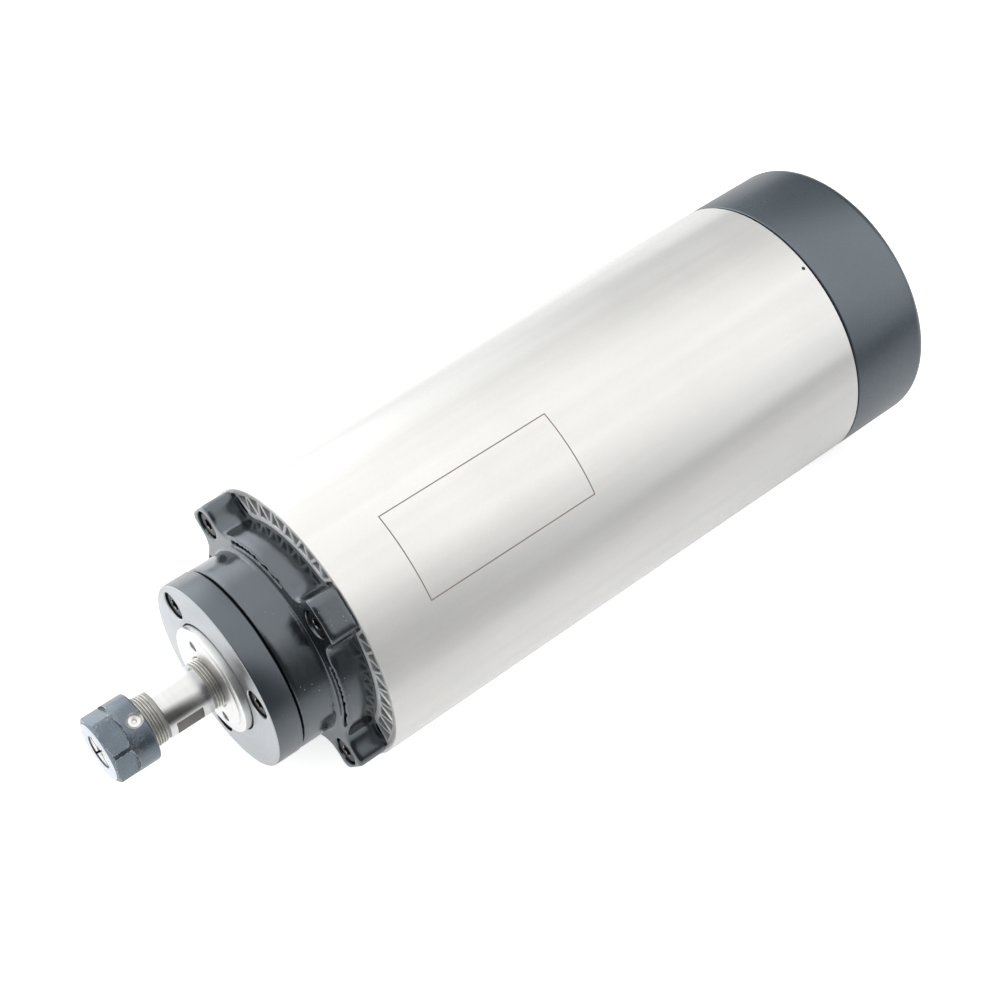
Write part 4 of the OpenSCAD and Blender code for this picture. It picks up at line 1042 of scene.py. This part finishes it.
class SPINDLE_OT_stage(Operator):
    """Sets the floor, the soft light and the camera"""
    bl_idname = "spindle.stage"
    bl_label = "Stage"

    def sky(self, world):
        """A tent of light, dimmer at the horizon. Two corners of the room are dark and one is bright."""
        world.use_nodes = True
        tree = world.node_tree
        tree.nodes.clear()
        way = put(tree, "TexCoord").outputs["Generated"]
        ramp = put(tree, "ValToRGB", {0: split(tree, way)[2]})
        stops = ((0.0, (0.60, 0.63, 0.66)), (0.12, (0.80, 0.82, 0.84)), (0.40, (1.0, 1.0, 1.0)),
                 (1.0, (1.0, 1.0, 1.0)))
        points = ramp.color_ramp.elements
        for i, (place, colour) in enumerate(stops):
            point = points[i] if i < 2 else points.new(place)
            point.position = place
            point.color = (*colour, 1.0)
        strength = 1.28
        # Each corner's direction, how near to it the shade begins and is full, and what it takes away
        for corner, low, high, share in (((0.87, -0.47, 0.16), 0.44, 0.74, 0.93),
                                         ((-0.46, 0.86, 0.20), 0.72, 0.90, 0.84),
                                         ((-0.97, -0.08, 0.15), 0.76, 0.97, -0.90)):
            toward = put(tree, "VectorMath", {0: way, 1: corner}, operation="DOT_PRODUCT")
            shade = band(tree, toward.outputs["Value"], low, high, 1.0, 1.0 - share)
            strength = calc(tree, "MULTIPLY", shade, strength)
        seen = put(tree, "LightPath").outputs["Is Camera Ray"]
        hue = blended(tree, seen, ramp.outputs[0], (1.0, 1.0, 1.0, 1.0))
        light = put(tree, "Background", {0: hue, 1: band(tree, seen, 0.0, 1.0, strength, 1.0)})
        put(tree, "OutputWorld", {0: light.outputs[0]})

    def floor(self, settings):
        """Pale paper that looks white. In reflections it is dark to the right and glows near the nose."""
        paper = Finish("floor_paper", settings.floor_colour, 0.85)
        tree = paper.tree
        clouds = paper.use("handling", Size=3.0)["Clouds"]
        pale = (*(min(1.0, c * 1.02) for c in settings.floor_colour), 1.0)
        seen = put(tree, "LightPath").outputs["Is Camera Ray"]
        unseen = calc(tree, "SUBTRACT", 1.0, seen)
        across, along, _ = split(tree, paper.place)
        dark = calc(tree, "MULTIPLY", band(tree, across, 0.04, 0.30), unseen)
        near = calc(tree, "MULTIPLY", band(tree, along, 0.16, 0.0), unseen)
        spill = calc(tree, "MULTIPLY", band(tree, across, -0.25, 0.15, 1.0, 0.0), near)
        glow = calc(tree, "MULTIPLY", seen, settings.floor_glow)
        even = blended(tree, clouds, paper.colour, pale)
        paper.give(Base_Color=blended(tree, dark, even, (0.12, 0.12, 0.12, 1.0)),
                   Emission_Color=(1.0, 1.0, 1.0, 1.0), Emission_Strength=calc(tree, "ADD", glow, spill))
        bm = bmesh.new()
        bmesh.ops.create_grid(bm, x_segments=8, y_segments=8, size=4.0)
        bmesh.ops.translate(bm, verts=bm.verts, vec=(0, 0, LOW.z - 0.0002))
        mesh = mesh_of(bm, "floor")
        mesh.materials.append(paper.material)
        floor = linked("floor", mesh)

    def lamp(self, name, place, size, power):
        """A soft light that shines at the spindle."""
        light = bpy.data.lights.new(name, "AREA")
        light.shape = "RECTANGLE"
        light.size, light.size_y = size
        light.energy = power
        obj = linked(name, light)
        obj.location = place
        obj.rotation_euler = (-Vector(place)).to_track_quat("-Z", "Y").to_euler()
        return obj

    def camera(self, settings):
        lens = bpy.data.cameras.new("camera")
        lens.lens = settings.lens
        lens.sensor_width = 36.0
        lens.clip_start, lens.clip_end = 0.01, 50.0
        camera = linked("camera", lens)
        camera.location = settings.camera_place
        camera.rotation_euler = Vector(settings.camera_aim).to_track_quat("-Z", "Y").to_euler()
        return camera

    def execute(self, context):
        scene = context.scene
        settings = scene.spindle_studio
        scene.camera = self.camera(settings)
        self.floor(settings)
        self.lamp("key", (-0.55, -0.15, 1.15), (1.2, 1.2), settings.key_power)
        fill = self.lamp("fill", (0.62, -0.10, 0.66), (0.9, 0.6), settings.fill_power)
        fill.visible_glossy = False
        scene.world = bpy.data.worlds.new("tent")
        self.sky(scene.world)
        scene.view_settings.view_transform = "Standard"
        return {"FINISHED"}


class SPINDLE_PT_panel(Panel):
    bl_label = "Motor spindle"
    bl_idname = "SPINDLE_PT_panel"
    bl_space_type = "VIEW_3D"
    bl_region_type = "UI"
    bl_category = "Spindle"

    def draw(self, context):
        scene = context.scene
        for group in (scene.spindle_sizes, scene.spindle_finishes, scene.spindle_studio):
            box = self.layout.box()
            for name in group.__annotations__:
                box.prop(group, name)
        column = self.layout.column(align=True)
        for operator in OPERATORS:
            column.operator(operator.bl_idname)


OPERATORS = (
    SPINDLE_OT_finishes, SPINDLE_OT_barrel, SPINDLE_OT_etched_frame, SPINDLE_OT_jacket,
    SPINDLE_OT_nose_casting, SPINDLE_OT_front_cap, SPINDLE_OT_lock_ring, SPINDLE_OT_shaft,
    SPINDLE_OT_collet, SPINDLE_OT_collet_nut, SPINDLE_OT_screws, SPINDLE_OT_rear_cover,
    SPINDLE_OT_receptacle, SPINDLE_OT_inner_parts, SPINDLE_OT_stage,
)
SETTINGS = (SpindleSizes, SpindleFinishes, StudioSettings)


def register():
    for cls in (*SETTINGS, *OPERATORS, SPINDLE_PT_panel):
        bpy.utils.register_class(cls)
    bpy.types.Scene.spindle_sizes = PointerProperty(type=SpindleSizes)
    bpy.types.Scene.spindle_finishes = PointerProperty(type=SpindleFinishes)
    bpy.types.Scene.spindle_studio = PointerProperty(type=StudioSettings)


def unregister():
    del bpy.types.Scene.spindle_studio
    del bpy.types.Scene.spindle_finishes
    del bpy.types.Scene.spindle_sizes
    for cls in reversed((*SETTINGS, *OPERATORS, SPINDLE_PT_panel)):
        bpy.utils.unregister_class(cls)


def main():
    register()
    for operator in OPERATORS:
        family, name = operator.bl_idname.split(".")
        getattr(getattr(bpy.ops, family), name)()


if __name__ == "__main__":
    main()
